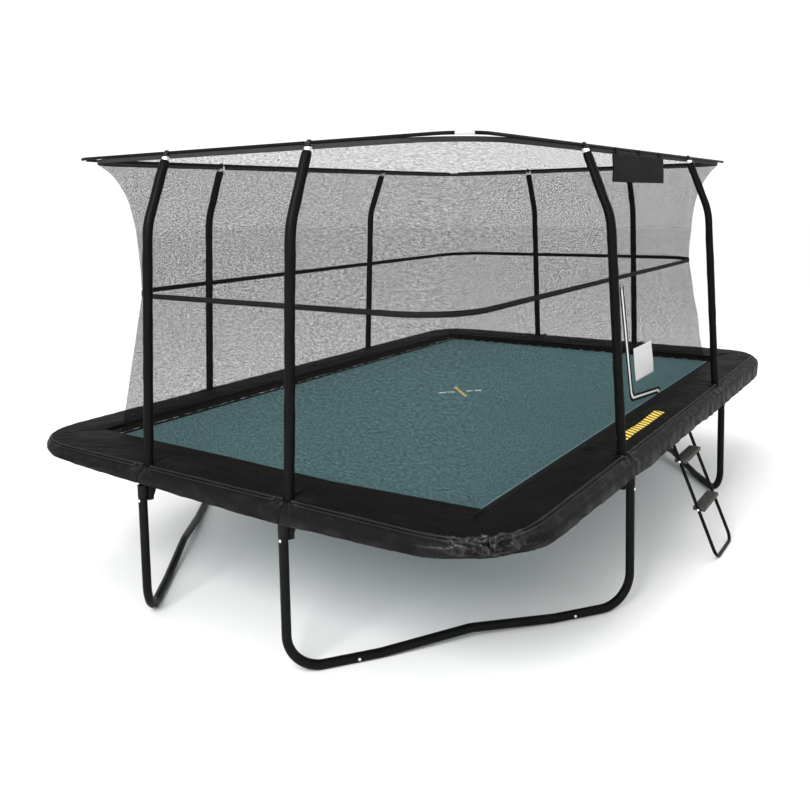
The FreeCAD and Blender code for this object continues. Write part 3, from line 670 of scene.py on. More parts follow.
# %% [markdown]
# Netting is mostly holes. The threads are drawn as the crossing of two slanting families of lines, and
# Alpha is 1 on a thread and 0 between. Knitted net stretches unevenly, so short wavy streaks make some
# threads look thicker than others, and those are what shows from a few metres away.

# %% Netting finish


def netting():
    f = Finish("knitted_net")
    at = f.place("UV")
    u, v, _ = f.split(at)
    mesh_width = 0.0026
    slope = 0.7
    wobble = f.noise(at, 30.0, 2.0) * 0.0016
    first = f.math("FRACT", (u + v * slope + wobble) / mesh_width)
    second = f.math("FRACT", (u - v * slope + wobble) / mesh_width)
    sway = f.noise(at, 16.0, 2.0) * 0.02
    streaks = f.noise(f.join(u * 40.0, (v + sway) * 100.0), 1.0, 1.0, 0.5)
    thread = (streaks - 0.5) * 0.26 + 0.1205
    near = [f.math("ABSOLUTE", family - 0.5) for family in (first, second)]
    covers = [f.math("LESS_THAN", distance, thread) for distance in near]
    cover = f.math("MAXIMUM", *covers)
    return f.surface(
        Base_Color=f.blend(streaks, (0.004, 0.004, 0.004), (0.010, 0.010, 0.010)),
        Roughness=0.8,
        Alpha=cover,
        Specular_IOR_Level=0.0,
    )


net_cloth = netting()


# %% [markdown]
# Most soft pieces ride on a body of the frame, and most of them stand for a plain solid there, which is
# hidden. Sheets are measured from their own grid of points, because a net isn't a rectangle.

# %% Fitting pieces


def fit(obj, body, slot, *replaced):
    """Lets a piece ride on a body and hides what it stands for. Its slot is not used."""
    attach(obj, body)
    if replaced:
        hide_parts(*replaced)
    return obj


def declare_sheet(obj, points):
    """Prints a sheet's cut size: the longest row and the longest column of its grid."""
    flat = (float(run_lengths(points, 0)[-1].max()), float(run_lengths(points, 1)[:, -1].max()))
    print(obj.name, "cut", round(flat[0], 2), "by", round(flat[1], 2), "m")


def weld(obj):
    """Joins the points that lie on each other, so that ends and loops are closed."""
    work = bmesh.new()
    work.from_mesh(obj.data)
    bmesh.ops.remove_doubles(work, verts=work.verts, dist=1e-6)
    work.to_mesh(obj.data)
    work.free()


def skinned(name, rings, u, v, material, loop=False):
    """A closed skin over rings of points. Its ends are drawn together, unless they meet in a loop."""
    if not loop:
        ends = [np.broadcast_to(rings[row].mean(axis=0), rings[row].shape)[None] for row in (0, -1)]
        rings = np.concatenate([ends[0], rings, ends[1]])
        v = np.concatenate([v[:1], v, v[-1:]])
    obj = grid_object(name, rings, u, v, material, closed=True)
    weld(obj)
    return obj


def swept(name, path, radius, sides, material):
    """A tube round a path. The radius is a number, or one for each point and side."""
    across, over = side_directions(path)
    turns = round_turns(sides)
    radius = np.broadcast_to(radius, (len(path), sides))
    spokes = across[:, None] * np.cos(turns)[:, None] + over[:, None] * np.sin(turns)[:, None]
    rings = path[:, None] + spokes * radius[..., None]
    girth = np.append(turns, 2 * math.pi)[None] * float(radius.mean())
    return skinned(name, rings, girth, run_lengths(path, 0)[:, None], material)


def ribbon(name, path, wide, width, thickness, material, loop=False, taper=1.0):
    """A flat strap along a path. wide points across it, and taper is its share of the width."""
    tangents = np.gradient(path, axis=0)
    if loop:
        tangents[0] = tangents[-1] = path[1] - path[-2]
    tangents /= np.linalg.norm(tangents, axis=1, keepdims=True)
    wide = np.broadcast_to(np.array(wide, float), path.shape)
    wide = wide - tangents * (wide * tangents).sum(axis=1, keepdims=True)
    wide = wide / np.linalg.norm(wide, axis=1, keepdims=True)
    thick = np.cross(wide, tangents)
    edge = thickness * 0.3
    w, t = width / 2, thickness / 2
    outline = [(w, -t + edge), (w, t - edge), (w - edge, t), (0, t), (edge - w, t), (-w, t - edge),
               (-w, edge - t), (edge - w, -t), (0, -t), (w - edge, -t)]
    wide = wide * np.broadcast_to(taper, len(path))[:, None]
    rings = np.stack([path + wide * a + thick * b for a, b in outline], axis=1)
    steps = [math.dist(p, q) for p, q in zip(outline, outline[1:] + outline[:1])]
    girth = np.concatenate([[0.0], np.cumsum(steps)])[None]
    return skinned(name, rings, girth, run_lengths(path, 0)[:, None], material, loop)


def joined(name, parts):
    """One object out of several."""
    for other in scene.objects:
        other.select_set(other in parts)
    bpy.context.view_layer.objects.active = parts[0]
    bpy.ops.object.join()
    whole = bpy.context.view_layer.objects.active
    whole.name = whole.data.name = name
    whole.select_set(False)
    return whole


# %% [markdown]
# The netting hangs from the ring, is drawn in by a webbing band at its waist, and is tied down at its
# foot. Its half length, half width and corner radius are known at a few heights. A smooth curve joins
# them down to the waist, and from there the netting runs straight to its foot.

# %% Netting measures
HEM_HEIGHT = 0.026
net_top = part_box("net_hem")[1].z - HEM_HEIGHT
net_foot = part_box("net_front")[0].z
waist_z = middle("net_band").z
RING_CORNER = 0.2
RING_SHAPE = np.array([ring_x, ring_y, 0.42])
WAIST_SHAPE = np.array([2.205, 1.26, 0.35])
FOOT_SHAPE = np.array([2.215, 1.345, 0.065])
DRAWN_IN = ((0.04, 0.10, 0.47), (0.21, 0.45, 0.50), (0.42, 0.71, 0.46), (0.70, 0.89, 0.40))


def smooth_through(t, knots, values):
    """A smooth curve through values at knots, each left with the mean slope of its neighbours."""
    slopes = np.gradient(values, knots, axis=0)
    k = np.clip(np.searchsorted(knots, t, side="right") - 1, 0, len(knots) - 2)
    gap = (knots[k + 1] - knots[k])[..., None]
    s = (t - knots[k])[..., None] / gap
    start = values[k] * (2 * s**3 - 3 * s**2 + 1) + slopes[k] * gap * (s**3 - 2 * s**2 + s)
    return start + values[k + 1] * (3 * s**2 - 2 * s**3) + slopes[k + 1] * gap * (s**3 - s**2)


def net_shape(z):
    """Half length, half width and corner radius of the netting at the heights z."""
    depth = net_top - np.asarray(z, float)
    fall = net_top - waist_z
    shapes = [RING_SHAPE]
    for _, drawn, corner in DRAWN_IN:
        shape = RING_SHAPE + (WAIST_SHAPE - RING_SHAPE) * drawn
        shape[2] = corner
        shapes.append(shape)
    knots = np.array([0.0] + [share * fall for share, _, _ in DRAWN_IN] + [fall])
    upper = smooth_through(depth, knots, np.array(shapes + [WAIST_SHAPE]))
    share = np.clip((depth - fall) / (waist_z - net_foot), 0, 1)[..., None]
    return np.where(share > 0, WAIST_SHAPE + (FOOT_SHAPE - WAIST_SHAPE) * share, upper)


def net_out(side, z):
    """How far out the flat part of a netting wall is at the height z."""
    return side.halves(net_shape(z))[0]


print("netting", round(net_foot, 3), "to", round(net_top, 3), "m, drawn in at", round(waist_z, 3))

# %% [markdown]
# A wall of netting is a grid from one corner's diagonal to the next. It keeps a little slack, a few
# millimetres in and out, which fades at the ring, at the band, at the foot and where two walls meet.

# %% Netting walls


def wall_grid(side, heights, straight_count, arc_count, slack, seed):
    """Points of a wall, with how far along and how far down each of them is."""
    shape = net_shape(heights)
    out_half, run_half = side.halves(shape)
    corner = shape[:, 2][:, None]
    turn = np.linspace(0, math.pi / 4, arc_count + 1)[1:]
    bend = np.concatenate([-turn[::-1], np.zeros(straight_count + 1), turn])
    corner_ones = np.ones(arc_count)
    share = np.concatenate([-corner_ones, np.linspace(-1, 1, straight_count + 1), corner_ones])
    out = out_half[:, None] - corner * (1 - np.cos(bend))
    run = (run_half[:, None] - corner) * share + corner * np.sin(bend)
    z = np.broadcast_to(heights[:, None], out.shape)
    held = np.sin(math.pi * np.clip((net_top - z) / (net_top - waist_z), 0, 1)) ** 0.5
    held = held + np.sin(math.pi * np.clip((waist_z - z) / (waist_z - net_foot), 0, 1)) ** 0.5
    push = uneven(run, z, 0.32, 0.22, seed) * held * np.cos(2 * bend) * slack
    points = side.place(out + push * np.cos(bend), run + push * np.sin(bend), z)
    lengths = run_lengths(points, 1)
    return points, lengths - lengths[:, [lengths.shape[1] // 2]], run_lengths(points, 0)


net_heights = np.concatenate([
    np.linspace(net_top, waist_z, 46),
    np.linspace(waist_z, net_foot, 38)[1:],
])
for number, side in enumerate(SIDES):
    columns = round(side.half_run * 2 / 0.03)
    points, u, v = wall_grid(side, net_heights, columns, 8, slack=0.004, seed=40 + number)
    wall = grid_object("netting_" + side.name, points, u, v, net_cloth)
    fit(wall, "frame", "net_cloth", "net_" + side.name)
    declare_sheet(wall, points)

# %% [markdown]
# Three things go round on a rounded rectangle: the casing that the ring's rods run through, the dark hem
# sewn under it, and the webbing band at the waist. One walk round gives the points, cut where needed.
# The casing and the hem stop at each pole. In the corners the casing leaves the middle of the plated
# elbow bare, and the hem takes a shorter way inside it.

# %% A walk round


def walk_round(length, width, corner, step=0.02):
    """Points and outward directions on a rounded rectangle, counter-clockwise from the front's middle."""
    points, outward = [], []
    for side in SIDES:
        out_half, run_half = side.halves((length, width))
        straight = run_half - corner
        arc = corner * math.pi / 4
        total = straight + arc
        count = max(8, round(total * 2 / step))
        for k in range(count):
            place = -total + 2 * total * k / count
            angle = math.copysign(max(0.0, abs(place) - straight), place) / corner
            run = math.copysign(min(abs(place), straight), place) + corner * math.sin(angle)
            out = out_half - corner * (1 - math.cos(angle))
            points.append(out * side.outward + run * side.along)
            outward.append(math.cos(angle) * side.outward + math.sin(angle) * side.along)
    return np.array(points), np.array(outward)


def between(points, outward, start, end):
    """The stretch of a walk from near one point to near another, going counter-clockwise."""
    first = int(np.argmin(np.linalg.norm(points - start, axis=1)))
    last = int(np.argmin(np.linalg.norm(points - end, axis=1)))
    order = np.arange(first, last if last > first else last + len(points)) % len(points)
    return points[order], outward[order]


def at_height(flat, z):
    return np.column_stack([flat, np.full(len(flat), z)])


# %% Hem and casing under the ring
hem_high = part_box("net_hem")[1].z
hem_low = hem_high - HEM_HEIGHT
hem_middle = (hem_low + hem_high) / 2
HEM_CLOTH = 0.0009
HEM_SWAY = 0.0012
CASING_RADIUS = 0.0092
POLE_GAP = 0.0205
BARE_ELBOW = 0.08
RING_STEP = 0.01
ring_points, ring_outward = walk_round(ring_x, ring_y, RING_CORNER, RING_STEP)
hem_points, hem_outward = walk_round(*RING_SHAPE, RING_STEP)
hem_parts = []
casing_parts = []
for here, there in zip(POLES, POLES[1:] + POLES[:1]):
    start = pole_top(here) + POLE_GAP * here[1].along
    end = pole_top(there) - POLE_GAP * there[1].along
    flat, outward = between(hem_points, hem_outward, start, end)
    line = at_height(flat, hem_middle)
    number = len(hem_parts) + 1
    lengths = run_lengths(line, 0)
    share = np.array([0.0, 0.25, 0.5, 0.75, 1.0])
    drop = hem_high - (hem_high - hem_low) * share
    sway = uneven(lengths[:, None], drop[None], 0.12, 0.05, 60 + number) * HEM_SWAY * share
    level = at_height(outward, 0.0)[None]
    grid = line[None] + level * sway.T[..., None]
    grid[..., 2] = drop[:, None]
    side_step = level * HEM_CLOTH
    hem = backed_grid("net_hem_" + str(number), grid + side_step, grid - side_step,
                      lengths[None], drop[:, None], hem_cloth)
    hem_parts.append(fit(hem, "frame", "black_cloth", "net_hem"))
    declare_sheet(hem, grid)
    flat, outward = between(ring_points, ring_outward, start, end)
    pieces = [flat]
    if here[1] is not there[1]:
        slant = np.abs(np.abs(outward[:, 0]) - np.abs(outward[:, 1]))
        elbow = int(np.argmin(slant))
        bare = round(BARE_ELBOW / 2 / RING_STEP)
        pieces = [flat[:elbow - bare], flat[elbow + bare:]]
    for piece in pieces:
        name = "rod_casing_" + str(len(casing_parts) + 1)
        casing = swept(name, at_height(piece, ring_z), CASING_RADIUS, 10, casing_cloth)
        casing_parts.append(fit(casing, "frame", "black_cloth"))
print("hem in", len(hem_parts), "lengths, casing in", len(casing_parts))

# %% [markdown]
# The band round the waist is flat webbing. It closes on itself, so its last ring of points meets its
# first.

# %% Waist band
band_low, band_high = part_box("net_band")[0].z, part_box("net_band")[1].z
band_gap = 0.0035
band_flat, _ = walk_round(WAIST_SHAPE[0] + band_gap, WAIST_SHAPE[1] + band_gap, WAIST_SHAPE[2] + band_gap)
band_line = at_height(np.concatenate([band_flat, band_flat[:1]]), (band_low + band_high) / 2)
band = ribbon("waist_band", band_line, (0, 0, 1), band_high - band_low, 0.002, webbing, loop=True)
fit(band, "frame", "webbing", "net_band")

# %% [markdown]
# Each pole stands in its station 65 mm outside the rail, leans in slightly, then bends in to the ring.
# The sleeve is foam in a woven cover: a tube whose radius wanders a millimetre, with a sewn seam along
# the side that faces away from the net, and wrinkles crowded into the inside of the bend.

# %% Pole sleeves
SLEEVE_RADIUS = 0.0275
SLEEVE_WANDER = 0.0007
SLEEVE_RELIEF = 0.0011
SLEEVE_SIDES = 20
WRINKLE_PITCH = 0.026
WRINKLE_ZONE = 0.11
END_ROUNDING = 0.018
SEAM_SPREAD = 0.16
POLE_LINE = ((POLE_OUT, 0.705), (POLE_OUT, 0.865), (-0.007, 2.26), (-RING_INSET, ring_z))
POLE_BENDS = (0.6, 0.5)
sleeve_from = 0.886
sleeve_end_gap = 0.041


def sleeve(name, side, run, seed):
    """The cover of one pole, as a tube along the pole's own line."""
    path = bent_path([side.place(side.rail + out, run, z) for out, z in POLE_LINE], POLE_BENDS, 0.012)
    from_tip = run_lengths(path[::-1], 0)[::-1]
    path = path[(path[:, 2] > sleeve_from) & (from_tip > sleeve_end_gap)]
    lengths = run_lengths(path, 0)
    length, turn = np.meshgrid(lengths, round_turns(SLEEVE_SIDES), indexing="ij")
    radius = SLEEVE_RADIUS + uneven(length, turn * SLEEVE_RADIUS, 0.09, 0.04, seed) * SLEEVE_WANDER
    across, _ = side_directions(path)
    facing = float(across[0][:2] @ side.outward)
    seam_turn = 0.0 if facing > 0.7 else (math.pi if facing < -0.7 else math.pi / 2)
    seam = np.exp(-((np.angle(np.exp(1j * (turn - seam_turn - 0.5))) / SEAM_SPREAD) ** 2))
    bend_zone = np.exp(-(((path[:, 2] - POLE_LINE[2][1]) / WRINKLE_ZONE) ** 2))[:, None]
    inside = np.clip(np.cos(turn - seam_turn - math.pi), 0, 1)
    wrinkles = np.sin(length / WRINKLE_PITCH * 2 * math.pi + np.sin(turn * 3) * 0.8) * bend_zone * inside
    radius = radius + seam * SLEEVE_RELIEF + wrinkles * SLEEVE_RELIEF
    ends = np.clip(np.minimum(length, lengths[-1] - length) / END_ROUNDING, 0, 1)
    radius = radius * (0.86 + 0.14 * np.sqrt(ends))
    return swept(name, path, radius, SLEEVE_SIDES, sleeve_cloth)


for number, (pole_node, side, run) in enumerate(POLES):
    cover = sleeve("sleeve_" + pole_node.removeprefix("pole_"), side, run, 80 + number)
    fit(cover, "frame", "foam_sleeve", "pole_sleeves")
print("sleeves:", len(POLES))


# %% [markdown]
# The safety pad is foam in a coated cover, sewn in twelve lengths that meet at the poles and on the
# corners' diagonals. A length is one grid: rows run from the nose by the mat over the crown, two sewn
# ridges and a slope to the skirt's hem, and columns run along the frame and round its corner.

# %% The pad's profile
PAD_UNDERSIDE = 0.8793
NOSE_RADIUS = 0.0095
NOSE_ROWS = 5
CROWN_ROWS = 31
PAD_CROWN = 0.010
FOAM_REACH = 0.0865
RIDGE_AND_SKIRT = (
    (0.0700, 0.9015), (0.0742, 0.9054), (0.0800, 0.9062), (0.0852, 0.9024), (0.0880, 0.8948),
    (0.0908, 0.8916), (0.0946, 0.8968), (0.1002, 0.8982), (0.1050, 0.8944), (0.1094, 0.8868),
    (0.1170, 0.8818), (0.1268, 0.8772), (0.1352, 0.8722), (0.1408, 0.8652), (0.1432, 0.8572),
    (0.1442, 0.8484), (0.1447, 0.8396), (0.1451, 0.8310), (0.1455, 0.8226), (0.1459, 0.8144),
    (0.1462, 0.8076), (0.1466, 0.8020), (0.1472, 0.7984), (0.1468, 0.7964),
)


def pad_profile(inner):
    """Distances from the rail and heights, from the nose's underside to the skirt's hem."""
    turn = np.radians(np.array([-90.0, -135.0, -180.0, -225.0, -270.0]))
    nose = np.column_stack([inner + NOSE_RADIUS * (1 + np.cos(turn)),
                            PAD_UNDERSIDE + NOSE_RADIUS * (1 + np.sin(turn))])
    first, last = nose[-1], np.array(RIDGE_AND_SKIRT[0])
    share = np.concatenate([np.linspace(0, 0.62, 16)[1:], np.linspace(0.62, 1, CROWN_ROWS - 13)[1:-1]])
    top = first + (last - first) * share[:, None]
    top[:, 1] += 4 * PAD_CROWN * share * (1 - share)
    return np.concatenate([nose, top, np.array(RIDGE_AND_SKIRT)])


CORNER_RADIUS = 0.2
HOLE_RADIUS = 0.031
HOLE_FADE = 0.08
HALF_GAP = 0.0004
PAD_INNER = {"front": -0.203, "back": -0.203, "left": -0.300, "right": -0.300}
INNER_CORNER = {"front": rail_x + PAD_INNER["left"], "back": rail_x + PAD_INNER["left"],
                "left": rail_y + PAD_INNER["front"], "right": rail_y + PAD_INNER["front"]}

# %% [markdown]
# A sewn skirt never hangs level. Elastic pulls it up and under the corners, most of all at the back left
# one, and it sags along the front, except where the ladder's tubes swing out under it. So each side has
# a few places with the hem's height above its plain line, and each corner has a share by which the
# cover is pulled in. The inner edge of the left pad isn't quite straight either.

# %% How the hem runs
HEM_RISE = {
    "front": ((-2.6, -2.2, -1.5, -1.07, -0.85, -0.26, 0.34, 0.5, 1.07, 2.6),
              (0.025, 0.019, 0.004, -0.005, -0.02, -0.021, -0.021, -0.037, -0.045, -0.05)),
    "right": ((-1.7, -0.54, 0.54, 1.7), (-0.05, -0.02, 0.0, 0.03)),
    "back": ((-2.6, -1.07, 1.07, 2.6), (0.03, 0.0, 0.01, 0.07)),
    "left": ((-1.7, -1.1, -0.6, 0.0, 0.46, 0.95, 1.25, 1.7),
             (0.07, 0.042, 0.026, 0.014, 0.004, 0.019, 0.03, 0.025)),
}
CORNER_PULLS = {
    ("front", "start"): 0.6, ("front", "end"): 0.2, ("right", "start"): 0.2, ("right", "end"): 0.5,
    ("back", "start"): 0.5, ("back", "end"): 0.6, ("left", "start"): 0.6, ("left", "end"): 0.6,
}
CRUMPLES = {("front", "start"): 1.0, ("left", "end"): 1.0}
TUCK = 0.034
INNER_SWAY = {"left": ((-0.3, 0.535, 1.43), (0.0, 0.025, -0.040))}


def inner_sway(side, run):
    """How far the pad's inner edge lies outside its plain line at places along a side."""
    return np.interp(run, *INNER_SWAY[side.name]) if side.name in INNER_SWAY else 0 * run


# %% [markdown]
# Columns crowd together where the cover gathers: round the poles and in the corners. A row that lies
# outside the frame's corner bends round it, and a row inside it ends on the mitre. At a pole, the
# columns step aside from the hole and close up again a hand's width further on.

# %% Placing the pad's grid
# How far the close columns reach from a pole and from a corner, and the two distances between columns.
FINE_AT_POLE, FINE_IN_CORNER = 0.16, 0.42
FINE_STEP, COARSE_STEP = 0.0065, 0.016
SKIRT_OUT = 0.1
TUCK_BELOW = 0.850


def eased(share):
    """A share from 0 to 1, with a smooth start and end."""
    return share * share * (3 - 2 * share)


def crowded(length, fine_start, fine_end, fine_step, step):
    """Places from 0 to length that are close together within the fine ends."""
    here = [0.0]
    while here[-1] < length:
        near = here[-1] < fine_start or here[-1] > length - fine_end
        here.append(here[-1] + (fine_step if near else step))
    return np.array(here) * (length / here[-1])


def pad_grid(side, first, last, pull):
    """Points of a length of pad between two places, with what its folds need to know."""
    profile = pad_profile(PAD_INNER[side.name])
    x, heights = profile[:, 0][:, None], profile[:, 1][:, None]
    straight = side.half_run - CORNER_RADIUS
    inner_share = (x - PAD_INNER[side.name]) / (-CORNER_RADIUS - PAD_INNER[side.name])
    mitre = INNER_CORNER[side.name] + inner_share * (straight - INNER_CORNER[side.name])
    reach = np.where(x > -CORNER_RADIUS, straight + (x + CORNER_RADIUS) * math.pi / 4, mitre)
    ends_at_pole = [abs(place) < side.half_run - 0.3 for place in (first, last)]
    start = first + HALF_GAP if ends_at_pole[0] else -reach
    end = last - HALF_GAP if ends_at_pole[1] else reach
    length = float(np.max(end - start))
    fine = [FINE_AT_POLE if at_pole else FINE_IN_CORNER for at_pole in ends_at_pole]
    share = crowded(length, *fine, FINE_STEP, COARSE_STEP) / length
    run = start + (end - start) * share
    bulge = np.sqrt(np.clip(HOLE_RADIUS**2 - (x - POLE_OUT) ** 2, 0, None))
    for place, at_pole, towards in ((start, ends_at_pole[0], 1), (end, ends_at_pole[1], -1)):
        if at_pole:
            away = (run - place) * towards
            run = run + towards * bulge * np.clip(1 - away / HOLE_FADE, 0, 1)
    beyond = np.where(x > -CORNER_RADIUS, np.clip(np.abs(run) - straight, 0, None), 0)
    angle = np.sign(run) * beyond / np.maximum(x + CORNER_RADIUS, 0.01)
    into_corner = np.clip((np.abs(run) - straight + 0.16) / 0.34, 0, 1)
    low = np.clip((TUCK_BELOW - heights) / 0.05, 0, 1) ** 1.4 * (x > SKIRT_OUT)
    pulled_in = pull * np.clip(x - 0.02, 0, None) * (1 - 0.3 * low) + TUCK * low
    pulled = x - eased(into_corner) * pulled_in
    pulled = pulled + inner_sway(side, run) * np.clip(1 - inner_share, 0, 1)
    out = side.rail + np.where(beyond > 0, (pulled + CORNER_RADIUS) * np.cos(angle) - CORNER_RADIUS, pulled)
    along = np.where(beyond > 0, np.sign(run) * straight + (pulled + CORNER_RADIUS) * np.sin(angle), run)
    z = np.broadcast_to(heights, run.shape)
    along_fold = run
    if not ends_at_pole[0]:
        along_fold = run - start
    if not ends_at_pole[1]:
        along_fold = end - run
    to_pole = np.full(run.shape, 9.0)
    for place, at_pole in ((first, ends_at_pole[0]), (last, ends_at_pole[1])):
        if at_pole:
            to_pole = np.minimum(to_pole, np.abs(run - place))
    return {"points": side.place(out, along, z), "x": np.broadcast_to(x, run.shape), "z": z, "run": run,
            "to_pole": to_pole, "along_fold": along_fold, "into_corner": into_corner,
            "at_corner": (np.abs(angle) > math.pi / 4 - 0.001) & (x > -CORNER_RADIUS)}


# %% [markdown]
# Sewn cover on foam shows four kinds of shape: a lazy unevenness on the crown, sharp gathers where it
# is pulled round a corner or a pole, thin creases across the slope, and a skirt that hangs in shallow
# folds. Each is a height along the surface's own normal, weighted by where it happens. Two lengths that
# meet in a corner count their places from it, so that their folds meet as in a mirror.

# %% Folds of the cover
# How high each kind of fold rises, in metres.
LAZY, FINE = 0.0022, 0.0007
GATHER, RUMPLE, SMALL_RUMPLE = 0.003, 0.016, 0.007
CREASE, BILLOW, SAG = 0.0026, 0.0048, 0.0011
STAR, STAR_ON_EDGE = 0.0022, 0.0068
GATHER_PITCH = 0.031


def ramp_up(value, low, high):
    """0 below low, 1 above high and smooth between."""
    return eased(np.clip((value - low) / (high - low), 0, 1))


def onto_diagonal(points, side, chosen):
    """Moves chosen points sideways onto the corner's diagonal plane, where two lengths meet."""
    out, along = points[..., :2] @ side.outward, points[..., :2] @ side.along
    off = np.where(chosen, ((out - side.rail) - (np.abs(along) - side.half_run)) / 2, 0)
    return side.place(out - off, along + np.sign(along) * off, points[..., 2])


def folded(grid, side, crumple, seed):
    """The points of a length of pad with its cover's folds, and the height of the folds."""
    points, x, z, run = grid["points"], grid["x"], grid["z"], grid["along_fold"]
    down = run_lengths(points, 0)
    draw = np.random.RandomState(seed)
    on_top = ramp_up(x, x.min() + 0.012, x.min() + 0.06) * (1 - ramp_up(x, 0.05, 0.074))
    on_edge = ramp_up(x, 0.035, 0.08)
    hanging = ramp_up(0.872 - z, 0.0, 0.09) * (x > SKIRT_OUT)
    height = uneven(run, down, 0.26, 0.14, seed) * LAZY * on_top
    height = height + uneven(run, down, 0.07, 0.05, seed + 1) * FINE * (on_top + on_edge)
    wander = uneven(run, down, 0.05, 0.09, seed + 2)
    corner = grid["into_corner"] ** 2
    gathers = np.sin(run / GATHER_PITCH * 2 * math.pi + wander * 2.6)
    crumpled = corner * on_edge * ramp_up(z, 0.800, 0.845) * crumple
    rumple = 1 - np.abs(uneven(run + down * 0.9, down - run * 0.25, 0.085, 0.030, seed + 6)) * 1.3
    height = height + (gathers * 0.5 + 0.5) ** 1.6 * crumpled * GATHER
    height = height + np.clip(rumple, 0, 1) ** 1.4 * crumpled * RUMPLE
    small = 1 - np.abs(uneven(run - down * 1.1, down + run * 0.3, 0.044, 0.020, seed + 7)) * 1.5
    height = height + np.clip(small, 0, 1) ** 1.5 * crumpled * SMALL_RUMPLE
    past_pole = down - down[np.argmin(abs(x[:, 0] - POLE_OUT))]
    from_pole = np.hypot(grid["to_pole"], past_pole)
    around = np.arctan2(past_pole, grid["to_pole"] + 0.004)
    star = np.sin(around * 11 + wander * 1.3 + draw.uniform(0, 6))
    near_pole = np.exp(-((from_pole / 0.10) ** 2)) * ramp_up(from_pole, 0.03, 0.05)
    height = height + (star * 0.5 + 0.5) ** 1.5 * near_pole * (STAR + STAR_ON_EDGE * on_edge)
    slanting = np.abs(uneven(run + down * 0.9, down - run * 0.35, 0.12, 0.05, seed + 3))
    crease = np.clip(1 - slanting * 3.2, 0, 1)
    height = height + crease**2 * CREASE * ramp_up(x, 0.1, 0.125)
    billow = np.clip(uneven(run, down * 0.4, 0.10, 0.4, seed + 4) * 0.5 + 0.5, 0, 1)
    height = height + billow * hanging * BILLOW
    drop = uneven(run, down * 0, 0.30, 1.0, seed + 5) * SAG * hanging
    drop = drop - np.interp(grid["run"], *HEM_RISE[side.name]) * hanging
    height = height * ramp_up(grid["to_pole"], 0.0, 0.018)
    moved = points + normals_of(points) * height[..., None]
    moved[..., 2] -= drop
    return onto_diagonal(moved, side, grid["at_corner"]), height


# %% Closing a length of pad
COVER_CLOTH = 0.0016


def pad_back(front, x):
    """The underside of a length of pad: flat below the foam, and a cloth's thickness behind the skirt."""
    back = front - normals_of(front) * COVER_CLOTH
    foam = x[:, 0] < FOAM_REACH
    back[foam] = front[foam]
    back[foam, :, 2] = PAD_UNDERSIDE
    start = front[NOSE_ROWS - 1].copy()
    inward_step = front[NOSE_ROWS] - start
    for row in range(NOSE_ROWS - 1):
        back[row] = start + inward_step * (0.02 + 0.1 * row)
        back[row, :, 2] = PAD_UNDERSIDE + 0.0005 * (row == 0)
    back[NOSE_ROWS - 1] = start + inward_step * 0.5
    back[NOSE_ROWS - 1, :, 2] = PAD_UNDERSIDE
    return back


def add_attribute(obj, name, values):
    """A number for each point of a mesh, for its material to read."""
    attribute = obj.data.attributes.new(name, "FLOAT", "POINT")
    attribute.data.foreach_set("value", np.asarray(values, np.float32).ravel())


# %% [markdown]
# The cover is a coated polyester: near black, a soft shine, fine crinkles, and a thread that shows only
# from close by. Rows of stitches follow the two ridges and the hem, and one crosses the pad beside each
# pole. The rows are found from the UV map, which starts at the top of the first ridge, and from each
# point's distance to its pole.

# %% Pad finish
# The seams are places down the cover, and the printed bars lie in the frame's own X and Y.
STITCH_PITCH = 0.006
RIDGE_SEAM = -0.012
SKIRT_SEAMS = (0.0345, 0.1300)
SEAM_HALF = 0.0007
SEAM_SOFT = 0.0004
CROSS_SEAM = 0.045
SKIRT_FROM = 0.045
BAR_PITCH, BAR_SHARE = 0.052, 0.62
BARS_X, BARS_HALF_LENGTH = -0.415, 0.385
BARS_Y, BARS_HALF_WIDTH = -1.6, 0.032


def stitches(f, along, share):
    """1 on a stitch and 0 between, in a row along a length in metres."""
    return f.math("LESS_THAN", f.math("FRACT", f.math("ADD", along, 10.0) / STITCH_PITCH), share)


